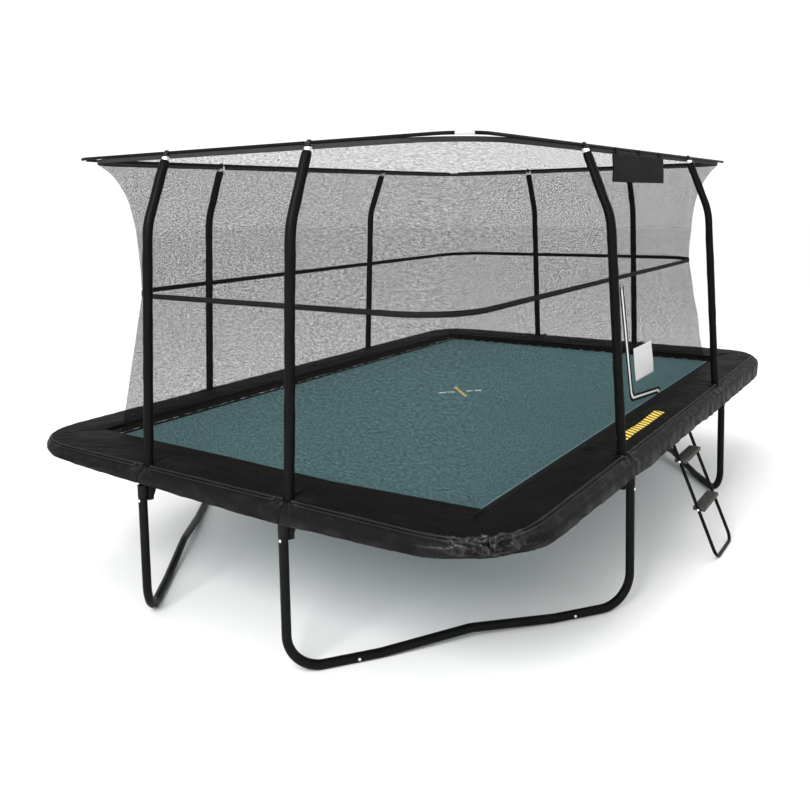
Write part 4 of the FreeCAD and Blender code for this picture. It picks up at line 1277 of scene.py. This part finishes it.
def pad_cover(name, printed=False):
    f = Finish(name)
    at = f.place("UV")
    u, v, _ = f.split(at)
    ends = f.node("ShaderNodeAttribute", {"attribute_name": "from_end"}, out=2)
    fold = f.node("ShaderNodeAttribute", {"attribute_name": "fold"}, out=2)
    crinkle = f.noise(at, 55.0, 6.0, 0.62)
    soft = f.noise(at, 9.0, 3.0)
    height = weave(f, u, v, 0.0011)
    dash_along = stitches(f, u, 0.66)
    dash_across = stitches(f, v, 0.66)
    seams = f.band(v, RIDGE_SEAM, SEAM_HALF, SEAM_SOFT)
    for place in SKIRT_SEAMS:
        seams = seams + f.band(v, place, SEAM_HALF, SEAM_SOFT)
    seams = seams * dash_along + f.band(ends, CROSS_SEAM, 0.0008, SEAM_SOFT) * dash_across
    groove = f.band(ends, CROSS_SEAM, 0.002, 0.004)
    on_skirt = f.math("GREATER_THAN", v, SKIRT_FROM)
    shade = f.blend(soft * 0.5 + crinkle * 0.5, (0.0026, 0.0026, 0.0025), (0.0052, 0.0051, 0.0048))
    # Painted sheen: the skirt is painted lighter and bluer than the top, for the light that its hanging
    # side catches.
    shade = f.blend(on_skirt * 0.6, shade, (0.0070, 0.0070, 0.0084))
    # Painted light on the folds: the colour rises towards a lighter grey where the cover's fold height is
    # high, so ridges are painted lighter and hollows stay dark.
    shade = f.blend(fold * fold * 0.6, shade, (0.034, 0.034, 0.037))
    colour = f.blend(seams, shade, (0.016, 0.016, 0.017))
    # Painted highlight: two bands of lighter grey along the sewn ridges, where they would catch the light.
    ridge_highlight = f.band(v, -0.003, 0.008, 0.002) + f.band(v, 0.030, 0.006, 0.002)
    colour = f.blend(ridge_highlight * (1 - seams) * 0.75, colour, (0.024, 0.024, 0.027))
    edge = f.math("GREATER_THAN", v, RIDGE_SEAM)
    if printed:
        x, y, _ = f.split(f.place())
        slant = f.math("FRACT", (x - y * 0.55 + 4.0) / BAR_PITCH)
        bars = f.math("LESS_THAN", slant, BAR_SHARE) * f.band(x, BARS_X, BARS_HALF_LENGTH, 0.001)
        bars = bars * f.band(y, BARS_Y, BARS_HALF_WIDTH, 0.001)
        colour = f.blend(bars, colour, (0.86, 0.62, 0.13))
    bumps = f.bump(crinkle, 0.006, f.bump(height, 0.0002))
    bumps = f.bump(seams * 0.6 - groove, 0.0012, bumps)
    return f.surface(
        Base_Color=colour,
        Roughness=0.4 + soft * 0.14 + crinkle * 0.08,
        Normal=bumps,
        Specular_IOR_Level=0.015,
        Coat_Weight=0.008 + edge * (0.05 + fold * 0.5),
        Coat_Roughness=0.3,
    )


pad_cloth = pad_cover("pad_cover")
pad_cloth_printed = pad_cover("pad_cover_printed", printed=True)

# %% Sewing the pads
# Two lengths that meet in a corner have one seed, so their folds match.
pad_count = 0
for number, side in enumerate(SIDES):
    places = [-side.half_run, -side.station, side.station, side.half_run]
    for part, first, last in zip(("start", "middle", "end"), places, places[1:]):
        pull = CORNER_PULLS.get((side.name, part), 0.0)
        grid = pad_grid(side, first, last, pull)
        corner = (number - 1) % 4 if part == "start" else number
        seed = (240 if part == "middle" else 200) + 10 * corner
        front, height = folded(grid, side, CRUMPLES.get((side.name, part), 0.25), seed)
        down = run_lengths(grid["points"], 0)
        down = down - down[NOSE_ROWS + CROWN_ROWS + 2]
        finish = pad_cloth_printed if (side.name, part) == ("front", "middle") else pad_cloth
        pad = backed_grid("pad_" + side.name + "_" + part, front, pad_back(front, grid["x"]),
                          grid["run"], down, finish)
        add_attribute(pad, "from_end", np.concatenate([grid["to_pole"].ravel()] * 2))
        # The fold height is also what the cover's painted light on the folds reads.
        add_attribute(pad, "fold", np.concatenate([np.clip(height / 0.012, 0, 1).ravel()] * 2))
        fit(pad, "frame", "pad_cover", "pad_" + side.name)
        pad_count += 1
print("pads:", pad_count)

# %% [markdown]
# A flap of webbing hangs from the pad's inner edge and leans in over the mat's edge, so that no one can
# step in between them. It hides the springs from inside.

# %% Flaps at the pad's inner edge
FLAP_INSET = 0.0125
FLAP_LAP = 0.006
FLAP_CLOTH = 0.0016
flap_drop = np.linspace(0, 0.0245, 5)[:, None]
for number, side in enumerate(SIDES):
    out_at = side.rail + PAD_INNER[side.name] + FLAP_INSET
    half_flap = INNER_CORNER[side.name] + FLAP_INSET
    run = np.linspace(-half_flap, half_flap, 220)[None] + flap_drop * 0
    sway = uneven(run, flap_drop, 0.09, 0.05, 350 + number) * 0.0012 * flap_drop / flap_drop.max()
    height = PAD_UNDERSIDE + 0.0006 - flap_drop + uneven(run, 0 * run, 0.2, 1.0, 360 + number) * 0.0006
    edge_out, _ = side.halves(EDGE_HALF)
    lean = max(0.01, out_at - edge_out + FLAP_LAP) * flap_drop / flap_drop.max()
    sway = sway + inner_sway(side, run)
    outer = side.place(out_at + sway - lean + FLAP_CLOTH, run, height)
    inner = side.place(out_at + sway - lean, run, height)
    flap = backed_grid("pad_flap_" + side.name, outer, inner, run, flap_drop + 0 * run, webbing)
    fit(flap, "frame", "webbing")
    declare_sheet(flap, inner)

# %% [markdown]
# The mat is one woven cloth. It is cut on its diagonals into four fields, each a grid from a little beyond
# the mat's edge, under its webbing, to its middle, with a faint unevenness that fades out near the edge.

# %% Mat finish


def woven_mat():
    f = Finish("mat_weave")
    at = f.place()
    x, y, _ = f.split(at)
    height = weave(f, x, y, 0.0024)
    bloom = f.noise(at, 0.9, 3.0)
    scuff = f.noise(at, 7.0, 5.0, 0.6)
    grit = f.ramp(f.noise(at, 260.0, 2.0), (0.6, 0.0), (0.8, 1.0))
    shade = f.blend(bloom * 0.65 + scuff * 0.35, (0.091, 0.172, 0.182), (0.115, 0.213, 0.227))
    shade = f.blend(height * 0.3, shade, (0.034, 0.067, 0.070))
    return f.surface(
        Base_Color=f.blend(grit * 0.06, shade, (0.3, 0.32, 0.3)),
        Roughness=0.72 + scuff * 0.12,
        Normal=f.bump(height, 0.0006),
        Specular_IOR_Level=0.04,
    )


mat_weave = woven_mat()
mat_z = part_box("jump_mat")[1].z
bend_reach = 1.0
UNDER_EDGE = 0.042
MAT_WAVE = 0.0010
# The cloth lies this far below the mat's top, and the webbing at its edge this far above.
LAYER = 0.0012

# %% Mat fields
for number, side in enumerate(SIDES):
    out_half, run_half = side.halves(MAT_HALF)
    inward = np.concatenate([[-UNDER_EDGE], np.linspace(0, min(MAT_HALF), 45)])[:, None]
    half_run = np.maximum(run_half - inward, 0.0005)
    run = half_run * np.linspace(-1, 1, 91 if run_half > out_half else 61)[None]
    out = np.broadcast_to(out_half - inward, run.shape)
    edge_tension = np.exp(-np.maximum(inward, 0) / 0.05)
    spot = side.place(out, run, mat_z)
    wave = uneven(spot[..., 0], spot[..., 1], 0.7, 0.5, 300) * MAT_WAVE * (1 - edge_tension)
    spot[..., 2] += wave - LAYER
    spot = spot[::-1]
    field = grid_object("mat_field_" + side.name, spot, spot[..., 0], spot[..., 1], mat_weave)
    edge = side.place(out_half, 0.0, mat_z)
    middle_of_bend = side.place(out_half - bend_reach, 0.0, mat_z)
    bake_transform(field)
    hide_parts("jump_mat")
    declare_sheet(field, spot)

# %% [markdown]
# The mat's edge is webbing folded double and sewn with four rows of stitches. It runs under the pad to
# the rings that the springs hook into, so only a dark strip of it shows between the netting and the pad.

# %% Mat edge
EDGE_LAP = 0.008
SEAM_GROOVE = 0.0006
SEAM_DEPTHS = (0.0, 0.4, 0.0, 0.5, 0.1, 0.0, 0.4, 0.0, 0.5, 0.2, 0.0)
edge_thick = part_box("mat_edge")[1].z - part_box("mat_edge")[0].z
for side in SIDES:
    out_half, run_half = side.halves(EDGE_HALF)
    inner_out, inner_run = (half + UNDER_EDGE - EDGE_LAP for half in side.halves(MAT_HALF))
    share = np.linspace(0, 1, len(SEAM_DEPTHS))[:, None]
    out = inner_out + (out_half - inner_out) * share
    half_run = inner_run + (run_half - inner_run) * share
    run = half_run * np.linspace(-1, 1, 160)[None]
    seams = np.array(SEAM_DEPTHS)[:, None] * SEAM_GROOVE
    top_z = mat_z + LAYER - seams + uneven(run, out, 0.03, 0.05, 310) * 0.0002
    upper = side.place(out, run, top_z)
    lower = side.place(out, run, mat_z - edge_thick + 0.0016)
    strip = backed_grid("mat_edge_" + side.name, upper, lower, run, out, webbing)
    fit(strip, "frame", "webbing", "mat_edge")
    declare_sheet(strip, upper)

# %% [markdown]
# Rings, springs, lacing, zip teeth and tread ribs repeat, so Geometry Nodes makes each of them. A Recipe
# is such a tree: its sizes are named inputs, one shape is made from them, and it is set on every point
# that carries a turn, then made real and given its material. The result is kept as a plain mesh.

# %% Geometry Nodes helper


class Recipe:
    """A Geometry Nodes tree that sets one shape on every point."""

    def __init__(self, name, **sizes):
        self.tree = bpy.data.node_groups.new(name, "GeometryNodeTree")
        face = self.tree.interface
        face.new_socket("Points", in_out="INPUT", socket_type="NodeSocketGeometry")
        face.new_socket("Geometry", in_out="OUTPUT", socket_type="NodeSocketGeometry")
        self.entry = self.tree.nodes.new("NodeGroupInput")
        self.exit = self.tree.nodes.new("NodeGroupOutput")
        self.keys = {}
        for title, value in sizes.items():
            kind = "NodeSocketInt" if isinstance(value, int) else "NodeSocketFloat"
            socket = face.new_socket(title, in_out="INPUT", socket_type=kind)
            socket.default_value = value
            self.keys[title] = (socket.identifier, value)

    def size(self, title):
        return self.entry.outputs[title]

    def node(self, kind, settings=None, inputs=None, out=0):
        """Any node, as one of its output sockets."""
        made = self.tree.nodes.new(kind)
        for key, value in (settings or {}).items():
            setattr(made, key, value)
        for key, value in (inputs or {}).items():
            for one in value if isinstance(value, list) else [value]:
                if isinstance(one, bpy.types.NodeSocket):
                    self.tree.links.new(one, made.inputs[key])
                else:
                    made.inputs[key].default_value = one
        return made.outputs[out]

    def vector(self, x=0.0, y=0.0, z=0.0):
        return self.node("ShaderNodeCombineXYZ", None, {0: x, 1: y, 2: z})

    def times(self, first, second):
        return self.node("ShaderNodeMath", {"operation": "MULTIPLY"}, {0: first, 1: second})

    def wire(self, curves, radius, sides):
        """A round wire along curves."""
        ring = self.node("GeometryNodeCurvePrimitiveCircle", None, {"Resolution": sides, "Radius": radius})
        return self.node("GeometryNodeCurveToMesh", None, {"Curve": curves, "Profile Curve": ring,
                                                           "Fill Caps": True})

    def repeat(self, shape, material, smooth=True):
        """Sets the shape on every point, turned as the point says."""
        turn = self.node("GeometryNodeInputNamedAttribute", {"data_type": "FLOAT_VECTOR"}, {"Name": "turn"})
        turn = self.node("FunctionNodeEulerToRotation", None, {0: turn})
        placed = self.node("GeometryNodeInstanceOnPoints", None, {
            "Points": self.entry.outputs["Points"], "Instance": shape, "Rotation": turn,
        })
        real = self.node("GeometryNodeRealizeInstances", None, {0: placed})
        shaded = self.node("GeometryNodeSetShadeSmooth", None, {"Geometry": real, "Shade Smooth": smooth})
        done = self.node("GeometryNodeSetMaterial", None, {"Geometry": shaded, "Material": material})
        self.tree.links.new(done, self.exit.inputs["Geometry"])


def grow(name, recipe, places, turns):
    """Runs a recipe on points with a turn each, and keeps the result as a plain mesh."""
    points = bpy.data.meshes.new(name + "_points")
    points.from_pydata([tuple(p) for p in places], [], [])
    turn = points.attributes.new("turn", "FLOAT_VECTOR", "POINT")
    turn.data.foreach_set("vector", np.asarray(turns, np.float32).ravel())
    carrier = bpy.data.objects.new(name + "_points", points)
    scene.collection.objects.link(carrier)
    modifier = carrier.modifiers.new("recipe", "NODES")
    modifier.node_group = recipe.tree
    for key, value in recipe.keys.values():
        modifier[key] = value
    bpy.context.view_layer.update()
    ready = carrier.evaluated_get(bpy.context.evaluated_depsgraph_get())
    mesh = bpy.data.meshes.new_from_object(ready)
    mesh.name = name
    obj = bpy.data.objects.new(name, mesh)
    scene.collection.objects.link(obj)
    carrier.modifiers.remove(modifier)
    bpy.data.objects.remove(carrier)
    bpy.data.meshes.remove(points)
    print(name, len(places), "times,", len(mesh.polygons), "faces")
    return obj


def node_points(node):
    """All points of a node's mesh."""
    mesh = nodes[node].data
    places = np.zeros(len(mesh.vertices) * 3)
    mesh.vertices.foreach_get("co", places)
    return places.reshape(-1, 3)


def places_along(node, side, beyond, gap=0.02):
    """Where the solids of a node lie along a side, from its points beyond a distance out."""
    flat = node_points(node)[:, :2]
    out, run = flat @ side.outward, flat @ side.along
    limit = run[out > beyond]
    limit = np.sort(limit[np.abs(limit) < side.half_run - 0.06])
    groups = np.split(limit, np.flatnonzero(np.diff(limit) > gap) + 1)
    return np.array([(g[0] + g[-1]) / 2 for g in groups])


# %% [markdown]
# The springs hook over the rail at one end and through a ring at the other. A spiral curve makes the
# coil, two lines on its axis make the hooks' shanks, two short ones join them to the coil's ends, and a
# round wire runs along them all.

# %% Springs
ring_tip_gap = 0.022
SPRING_SPAN = 0.19
COIL_FROM = 0.08
spring = Recipe("coil_spring", Coil=0.152, Span=SPRING_SPAN, Radius=0.0098, Wire=0.0013, Turns=17.0)
half_coil = spring.times(spring.size("Coil"), 0.5)
spiral = spring.node("GeometryNodeCurveSpiral", None, {
    "Resolution": 7, "Rotations": spring.size("Turns"), "Start Radius": spring.size("Radius"),
    "End Radius": spring.size("Radius"), "Height": spring.size("Coil"),
})
spiral = spring.node("GeometryNodeTransform", None, {
    "Geometry": spiral, "Translation": spring.vector(z=spring.times(half_coil, -1.0)),
})
half_span = spring.times(spring.size("Span"), 0.5)
shanks = []
for way in (-1.0, 1.0):
    shanks.append(spring.node("GeometryNodeCurvePrimitiveLine", None, {
        "Start": spring.vector(z=spring.times(half_coil, way)),
        "End": spring.vector(z=spring.times(half_span, way)),
    }))
    shanks.append(spring.node("GeometryNodeCurvePrimitiveLine", None, {
        "Start": spring.vector(z=spring.times(half_coil, way)),
        "End": spring.vector(x=spring.size("Radius"), z=spring.times(half_coil, way)),
    }))
parts = spring.node("GeometryNodeJoinGeometry", None, {0: [spiral] + shanks})
spring.repeat(spring.wire(parts, spring.size("Wire"), 4), zinc_wire)
for side in SIDES:
    tip = side.halves(EDGE_HALF)[0] + ring_tip_gap
    runs = places_along("springs_" + side.name, side, tip + COIL_FROM)
    spots = side.place(tip + SPRING_SPAN / 2, runs, rail_z)
    turns = [(0, math.pi / 2, side.heading)] * len(runs)
    coils = grow("springs_" + side.name + "_coils", spring, spots, turns)
    fit(coils, "frame", "zinc_spring", "springs_" + side.name)

# %% Rings at the mat's edge
RING_RADIUS = 0.0147
triangle = Recipe("wire_triangle", Radius=RING_RADIUS, Wire=0.0022)
corners = triangle.node("GeometryNodeCurvePrimitiveCircle", None, {
    "Resolution": 3, "Radius": triangle.size("Radius"),
})
triangle.repeat(triangle.wire(corners, triangle.size("Wire"), 6), zinc_wire, smooth=False)
ring_spots, ring_turns = [], []
for side in SIDES:
    out = side.halves(EDGE_HALF)[0] + RING_RADIUS / 2
    runs = places_along("mat_rings", side, out)
    ring_spots.extend(side.place(out, runs, rail_z))
    ring_turns.extend([(0, 0, side.heading)] * len(runs))
fit(grow("mat_ring_wires", triangle, ring_spots, ring_turns), "frame", "plated_joint", "mat_rings")

# %% [markdown]
# The netting's foot is laced to the mat's edge with white cord. Only the upper stitches show, as a row of
# short pale dashes between the netting and the pad.

# %% Lacing
LACE_BEYOND = (0.022, 0.046)
LACE_END = 0.09
LACE_PITCH = 0.112
stitch = Recipe("lacing_stitch", Span=0.056, Rise=0.006, Cord=0.0022)
half_stitch = stitch.times(stitch.size("Span"), 0.5)
arch = stitch.node("GeometryNodeCurveQuadraticBezier", None, {
    "Resolution": 7,
    "Start": stitch.vector(x=stitch.times(half_stitch, -1.0), z=-0.003),
    "Middle": stitch.vector(z=stitch.size("Rise")),
    "End": stitch.vector(x=half_stitch, z=-0.003),
})
stitch.repeat(stitch.wire(arch, stitch.size("Cord"), 6), thread_white)
lace_spots, lace_turns = [], []
for side in SIDES:
    out_half, run_half = side.halves(FOOT_SHAPE)
    lace_out = out_half + side.halves(LACE_BEYOND)[0]
    lace_reach = run_half - LACE_END
    count = round(lace_reach * 2 / LACE_PITCH)
    for k in range(count + 1):
        run = -lace_reach + 2 * lace_reach * k / count
        lace_spots.append(side.place(lace_out, run, mat_z + 0.0005))
        lace_turns.append((0, 0, math.atan2(side.along[1], side.along[0]) + 0.10 * math.sin(k * 2.4)))
fit(grow("lacing", stitch, lace_spots, lace_turns), "frame", "white_cap")

# %% [markdown]
# Two lines of sewn dashes cross at the middle of the mat, white one way and yellow the other, to show
# where to jump. Each dash is a flat bar of thread that lies on the cloth and rides on the mat's body. The
# white line leaves out its middle dash, where the yellow one crosses.

# %% Jump mark
MARK_MIDDLE = np.array([0.04, 0.018, mat_z + 0.0004])
dash_length, dash_pitch, dash_width = 0.054, 0.074, 0.026
for name, slope, thread in (("mark_white", -1, thread_white), ("mark_yellow", 1, thread_yellow)):
    parts = []
    direction = np.array([1, slope, 0]) / math.sqrt(2)
    for k in (-2, -1, 1, 2) if slope < 0 else (-2, -1, 0, 1, 2):
        centre = MARK_MIDDLE + direction * dash_pitch * k
        line = centre + direction * np.linspace(-0.5, 0.5, 9)[:, None] * dash_length
        line[:, 2] += 0.0004 * np.cos(np.linspace(-1.4, 1.4, 9))
        across = np.array([-direction[1], direction[0], 0.0])
        parts.append(ribbon(name + str(k), line, across, dash_width, 0.0012, thread))
    fit(joined(name, parts), "mat", "webbing")

# %% [markdown]
# The door is an L-shaped zip in the front netting: down from the waist, round a bend, along the bottom
# and a little down at its end. It is a black woven tape with a pale middle, and a row of teeth that
# Geometry Nodes set along it. The slider is the frame's own.

# %% Door zip
FRONT = SIDES[0]
ZIP_CORNERS = ((0.118, 1.746), (0.146, 0.936), (0.735, 0.880), (0.765, 0.858))
ZIP_BENDS = (0.06, 0.012)
TAPE_WIDTH = 0.080
TAPE_UNDER_DOOR = 0.6
TOOTH_PITCH = 0.0034
PALE_FROM = 0.0265
ZIP_PROUD = 0.0075
zip_flat = bent_path([(x, 0.0, z) for x, z in ZIP_CORNERS], ZIP_BENDS, 0.01)


def zip_tape_finish():
    f = Finish("zip_tape")
    at = f.place("UV")
    u, v, _ = f.split(at)
    girth = f.math("PINGPONG", u, TAPE_WIDTH / 2)
    pale = f.math("GREATER_THAN", girth, PALE_FROM)
    cloud = f.noise(at, 30.0, 3.0)
    grain = weave(f, u, v, 0.0014)
    dark = f.blend(cloud, (0.004, 0.004, 0.004), (0.01, 0.01, 0.01))
    light = f.blend(cloud, (0.86, 0.86, 0.84), (0.74, 0.74, 0.73))
    return f.surface(
        Base_Color=f.blend(pale, dark, light),
        Roughness=0.6 + cloud * 0.1,
        Normal=f.bump(grain, 0.0003),
        Specular_IOR_Level=0.05,
    )


def on_front_net(x, z, proud):
    """Points just outside the front netting."""
    return FRONT.place(net_out(FRONT, z) + proud, x, z)


zip_line = on_front_net(zip_flat[:, 0], zip_flat[:, 2], ZIP_PROUD)
NET_LEAN = -0.089
net_normal = np.array([0.0, -1.0, NET_LEAN])
net_normal /= np.linalg.norm(net_normal)
zip_tangent = np.gradient(zip_line, axis=0)
upright = np.clip(np.abs(zip_tangent[:, 2]) / np.linalg.norm(zip_tangent, axis=1), 0, 1)
tape_share = TAPE_UNDER_DOOR + (1 - TAPE_UNDER_DOOR) * upright
tape = ribbon("zip_tape", zip_line, np.cross(zip_tangent, net_normal), TAPE_WIDTH, 0.0014,
              zip_tape_finish(), taper=tape_share)
fit(tape, "frame", "zip_tape", "door_zip")
tooth = Recipe("zip_tooth", Long=0.0062, Wide=0.0022, High=0.0016)
block = tooth.node("GeometryNodeMeshCube", None, {
    "Size": tooth.vector(tooth.size("Wide"), tooth.size("Long"), tooth.size("High")),
})
tooth.repeat(block, white_plastic, smooth=False)
zip_run = run_lengths(zip_line, 0)
tooth_at = np.arange(0.004, zip_run[-1], TOOTH_PITCH)
tooth_spots = np.column_stack([np.interp(tooth_at, zip_run, zip_line[:, c]) for c in range(3)])
tooth_spots += net_normal * 0.0012
tooth_head = np.column_stack([np.interp(tooth_at, zip_run, zip_tangent[:, c]) for c in range(3)])
tooth_turns = []
for head in tooth_head:
    along = Vector(head).normalized()
    up = Vector(net_normal)
    axes = Matrix((along, up.cross(along), up)).transposed()
    tooth_turns.append(tuple(axes.to_euler()))
fit(grow("zip_teeth", tooth, tooth_spots, tooth_turns), "frame", "zip_tape")

# %% [markdown]
# Beside the door hangs a white card in a clear pocket. Its narrow rim is painted grey, a painted shade
# along its edge. It is left blank. A cloth board hangs from the ring on three loops, also blank, with a
# bound and stitched border.

# %% Card and board


def flat_panel(name, box, thickness, material, soft, seed, rows=24, columns=36, over_net=None):
    """A slightly bowed panel of a box's size on the front side, along the netting if it lies on it."""
    low, high = box
    z = np.linspace(high.z, low.z, rows)[:, None]
    run = np.linspace(low.x, high.x, columns)[None]
    out_high, out_low = -high.y, -low.y
    share = (high.z - z) / (high.z - low.z)
    out = out_high + (out_low - out_high) * share if over_net is None else net_out(FRONT, z) + over_net
    out = out + uneven(run, z, 0.3, 0.12, seed) * soft * np.sin(math.pi * share)
    u = run - (low.x + high.x) / 2
    v = z - (low.z + high.z) / 2
    front = FRONT.place(out + thickness / 2, run, z)
    return backed_grid(name, front, FRONT.place(out - thickness / 2, run, z), u, v, material)


def panel_corners(box):
    """A flat panel's corners, as a grid of two rows and two columns."""
    low, high = box
    return np.array([[(x, 0, z) for x in (low.x, high.x)] for z in (high.z, low.z)])


def bordered(name, box, border, inside, edge, rough=0.5, gloss=0.0):
    """A plain panel with a border of another shade and a row of stitches on it."""
    low, high = box
    f = Finish(name)
    at = f.place("UV")
    u, v, _ = f.split(at)
    far_u = f.math("ABSOLUTE", u) - (high.x - low.x) / 2
    far_v = f.math("ABSOLUTE", v) - (high.z - low.z) / 2
    far = f.math("MAXIMUM", far_u, far_v)
    on_border = f.math("GREATER_THAN", far, -border)
    row = f.band(far, -border * 0.4, 0.0008, 0.0004)
    dash = stitches(f, u + v, 0.62)
    cloud = f.noise(at, 16.0, 4.0)
    grain = weave(f, u, v, 0.0012)
    plain = f.blend(cloud, tuple(c * 0.9 for c in inside), inside)
    shade = f.blend(on_border, plain, edge)
    shade = f.blend(row * dash, shade, tuple(min(1.0, c * 2.2 + 0.02) for c in edge))
    return f.surface(
        Base_Color=shade,
        Roughness=rough + cloud * 0.1,
        Normal=f.bump(on_border * 0.5 + grain * 0.12, 0.0012, f.bump(cloud, 0.004)),
        Coat_Weight=gloss,
        Specular_IOR_Level=0.03,
    )


card_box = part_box("door_card")
# The card's grey rim is painted shade along its edge.
card_finish = bordered("card_pocket", card_box, 0.005, (0.66, 0.66, 0.66), (0.42, 0.43, 0.43), 0.35, 0.1)
card = flat_panel("door_card_pocket", card_box, 0.0022, card_finish, 0.0012, 401, over_net=0.008)
fit(card, "frame", "white_card", "door_card")
declare_sheet(card, panel_corners(card_box))

# %% Board on the ring
BOARD = (Vector((-0.635, -1.477, 2.470)), Vector((0.399, -1.477, 2.647)))
BOARD_LOOPS = (-0.555, -0.118, 0.319)
LOOP_RADIUS = 0.0125
LOOP_WIDTH = 0.038
LOOP_SAG = 0.012
board_finish = bordered("board_panel", BOARD, 0.014, (0.0052, 0.0044, 0.0049), (0.003, 0.003, 0.003), 0.6)
board = flat_panel("board_panel_cloth", BOARD, 0.0032, board_finish, 0.002, 411, 16, 60)
fit(board, "frame", "black_cloth", "ring_board")
declare_sheet(board, panel_corners(BOARD))
loops = []
for k, x in enumerate(BOARD_LOOPS):
    turn = np.linspace(-0.5 * math.pi, 1.5 * math.pi, 25)
    strap = np.column_stack([np.full(len(turn), x), -ring_y + LOOP_RADIUS * np.cos(turn),
                             ring_z - 0.004 + LOOP_RADIUS * np.sin(turn)])
    strap[:, 2] -= np.where(np.sin(turn) < -0.2, LOOP_SAG, 0.0)
    loops.append(ribbon("board_loop_" + str(k), strap, (1, 0, 0), LOOP_WIDTH, 0.0016, webbing, loop=True))
fit(joined("board_loops", loops), "frame", "black_cloth")

# %% [markdown]
# The ladder's treads are dark plastic, worn to a grey green. Their ribs are small blocks that Geometry
# Nodes set along each tread.

# %% Ladder treads


def tread_finish():
    f = Finish("tread_plastic")
    at = f.place()
    worn = f.noise(at, 24.0, 5.0, 0.6)
    grit = f.noise(at, 500.0, 2.0)
    return f.surface(
        Base_Color=f.blend(worn, (0.03, 0.031, 0.028), (0.085, 0.085, 0.075)),
        Roughness=0.6 + worn * 0.15,
        Normal=f.bump(grit, 0.0004),
        Specular_IOR_Level=0.1,
    )


TREAD_HEIGHTS = (0.315, 0.620)
NEAR_TREAD = 0.06
RIB_PITCH = 0.011
RIB_RISE = 0.0008
tread = tread_finish()
paint("ladder_steps", tread)
rib = Recipe("tread_rib", Long=0.058, Wide=0.0042, High=0.0026)
bar = rib.node("GeometryNodeMeshCube", None, {
    "Size": rib.vector(rib.size("Wide"), rib.size("Long"), rib.size("High")),
})
rib.repeat(bar, tread, smooth=False)
step_points = node_points("ladder_steps")
rib_spots = []
for tread_z in TREAD_HEIGHTS:
    near = step_points[np.abs(step_points[:, 2] - tread_z) < NEAR_TREAD]
    top = near[:, 2].max()
    flat = near[near[:, 2] > top - 0.002]
    middle_y = (flat[:, 1].min() + flat[:, 1].max()) / 2
    for x in np.arange(near[:, 0].min() + 0.03, near[:, 0].max() - 0.028, RIB_PITCH):
        rib_spots.append((x, middle_y, top + RIB_RISE))
    print("tread top", round(float(top), 4), "at y", round(float(middle_y), 3))
fit(grow("tread_ribs", rib, rib_spots, [(0, 0, 0)] * len(rib_spots)), "ladder", "grey_plastic")

# %% [markdown]
# Beside each pole an elastic loop with a small ball holds the cover's two lengths together.

# %% Toggles at the poles


def ball(name, centre, radius, material):
    """A round ball as a grid from pole to pole."""
    up = np.linspace(math.pi / 2, -math.pi / 2, 13)[:, None]
    turn = round_turns(20)[None]
    level = np.cos(up)
    rings = np.stack(np.broadcast_arrays(level * np.cos(turn), level * np.sin(turn), np.sin(up)), -1)
    girth = np.append(turn, [[2 * math.pi]], 1) * radius
    obj = grid_object(name, centre + radius * rings, girth, up * radius, material, closed=True)
    weld(obj)
    return obj


# A toggle and its eyelet: out from the rail, along from the pole, and the height.
TOGGLE_RADIUS = 0.0105
TOGGLE_CORD = 0.0018
TOGGLE = (0.106, -0.062, 0.9085)
EYELET = (0.097, 0.012, 0.8995)


def beside_pole(side, run, spot):
    """A point on the pad, from its distance out from the rail and along from the pole, and its height."""
    out, beside, z = spot
    return side.place(side.rail + out, run + beside, z)


balls = []
loops = []
for number, (pole_node, side, run) in enumerate(POLES):
    spot = beside_pole(side, run, TOGGLE)
    balls.append(ball("toggle_" + str(number), spot, TOGGLE_RADIUS, black_plastic))
    hole = beside_pole(side, run, EYELET)
    line = np.array([spot + (hole - spot) * k for k in np.linspace(0.05, 1, 10)])
    line[:, 2] += 0.004 * np.sin(np.linspace(0, math.pi, 10))
    loops.append(swept("toggle_loop_" + str(number), line, TOGGLE_CORD, 6, webbing))
fit(joined("pad_toggles", balls), "frame", "black_plastic")
fit(joined("pad_toggle_loops", loops), "frame", "webbing")
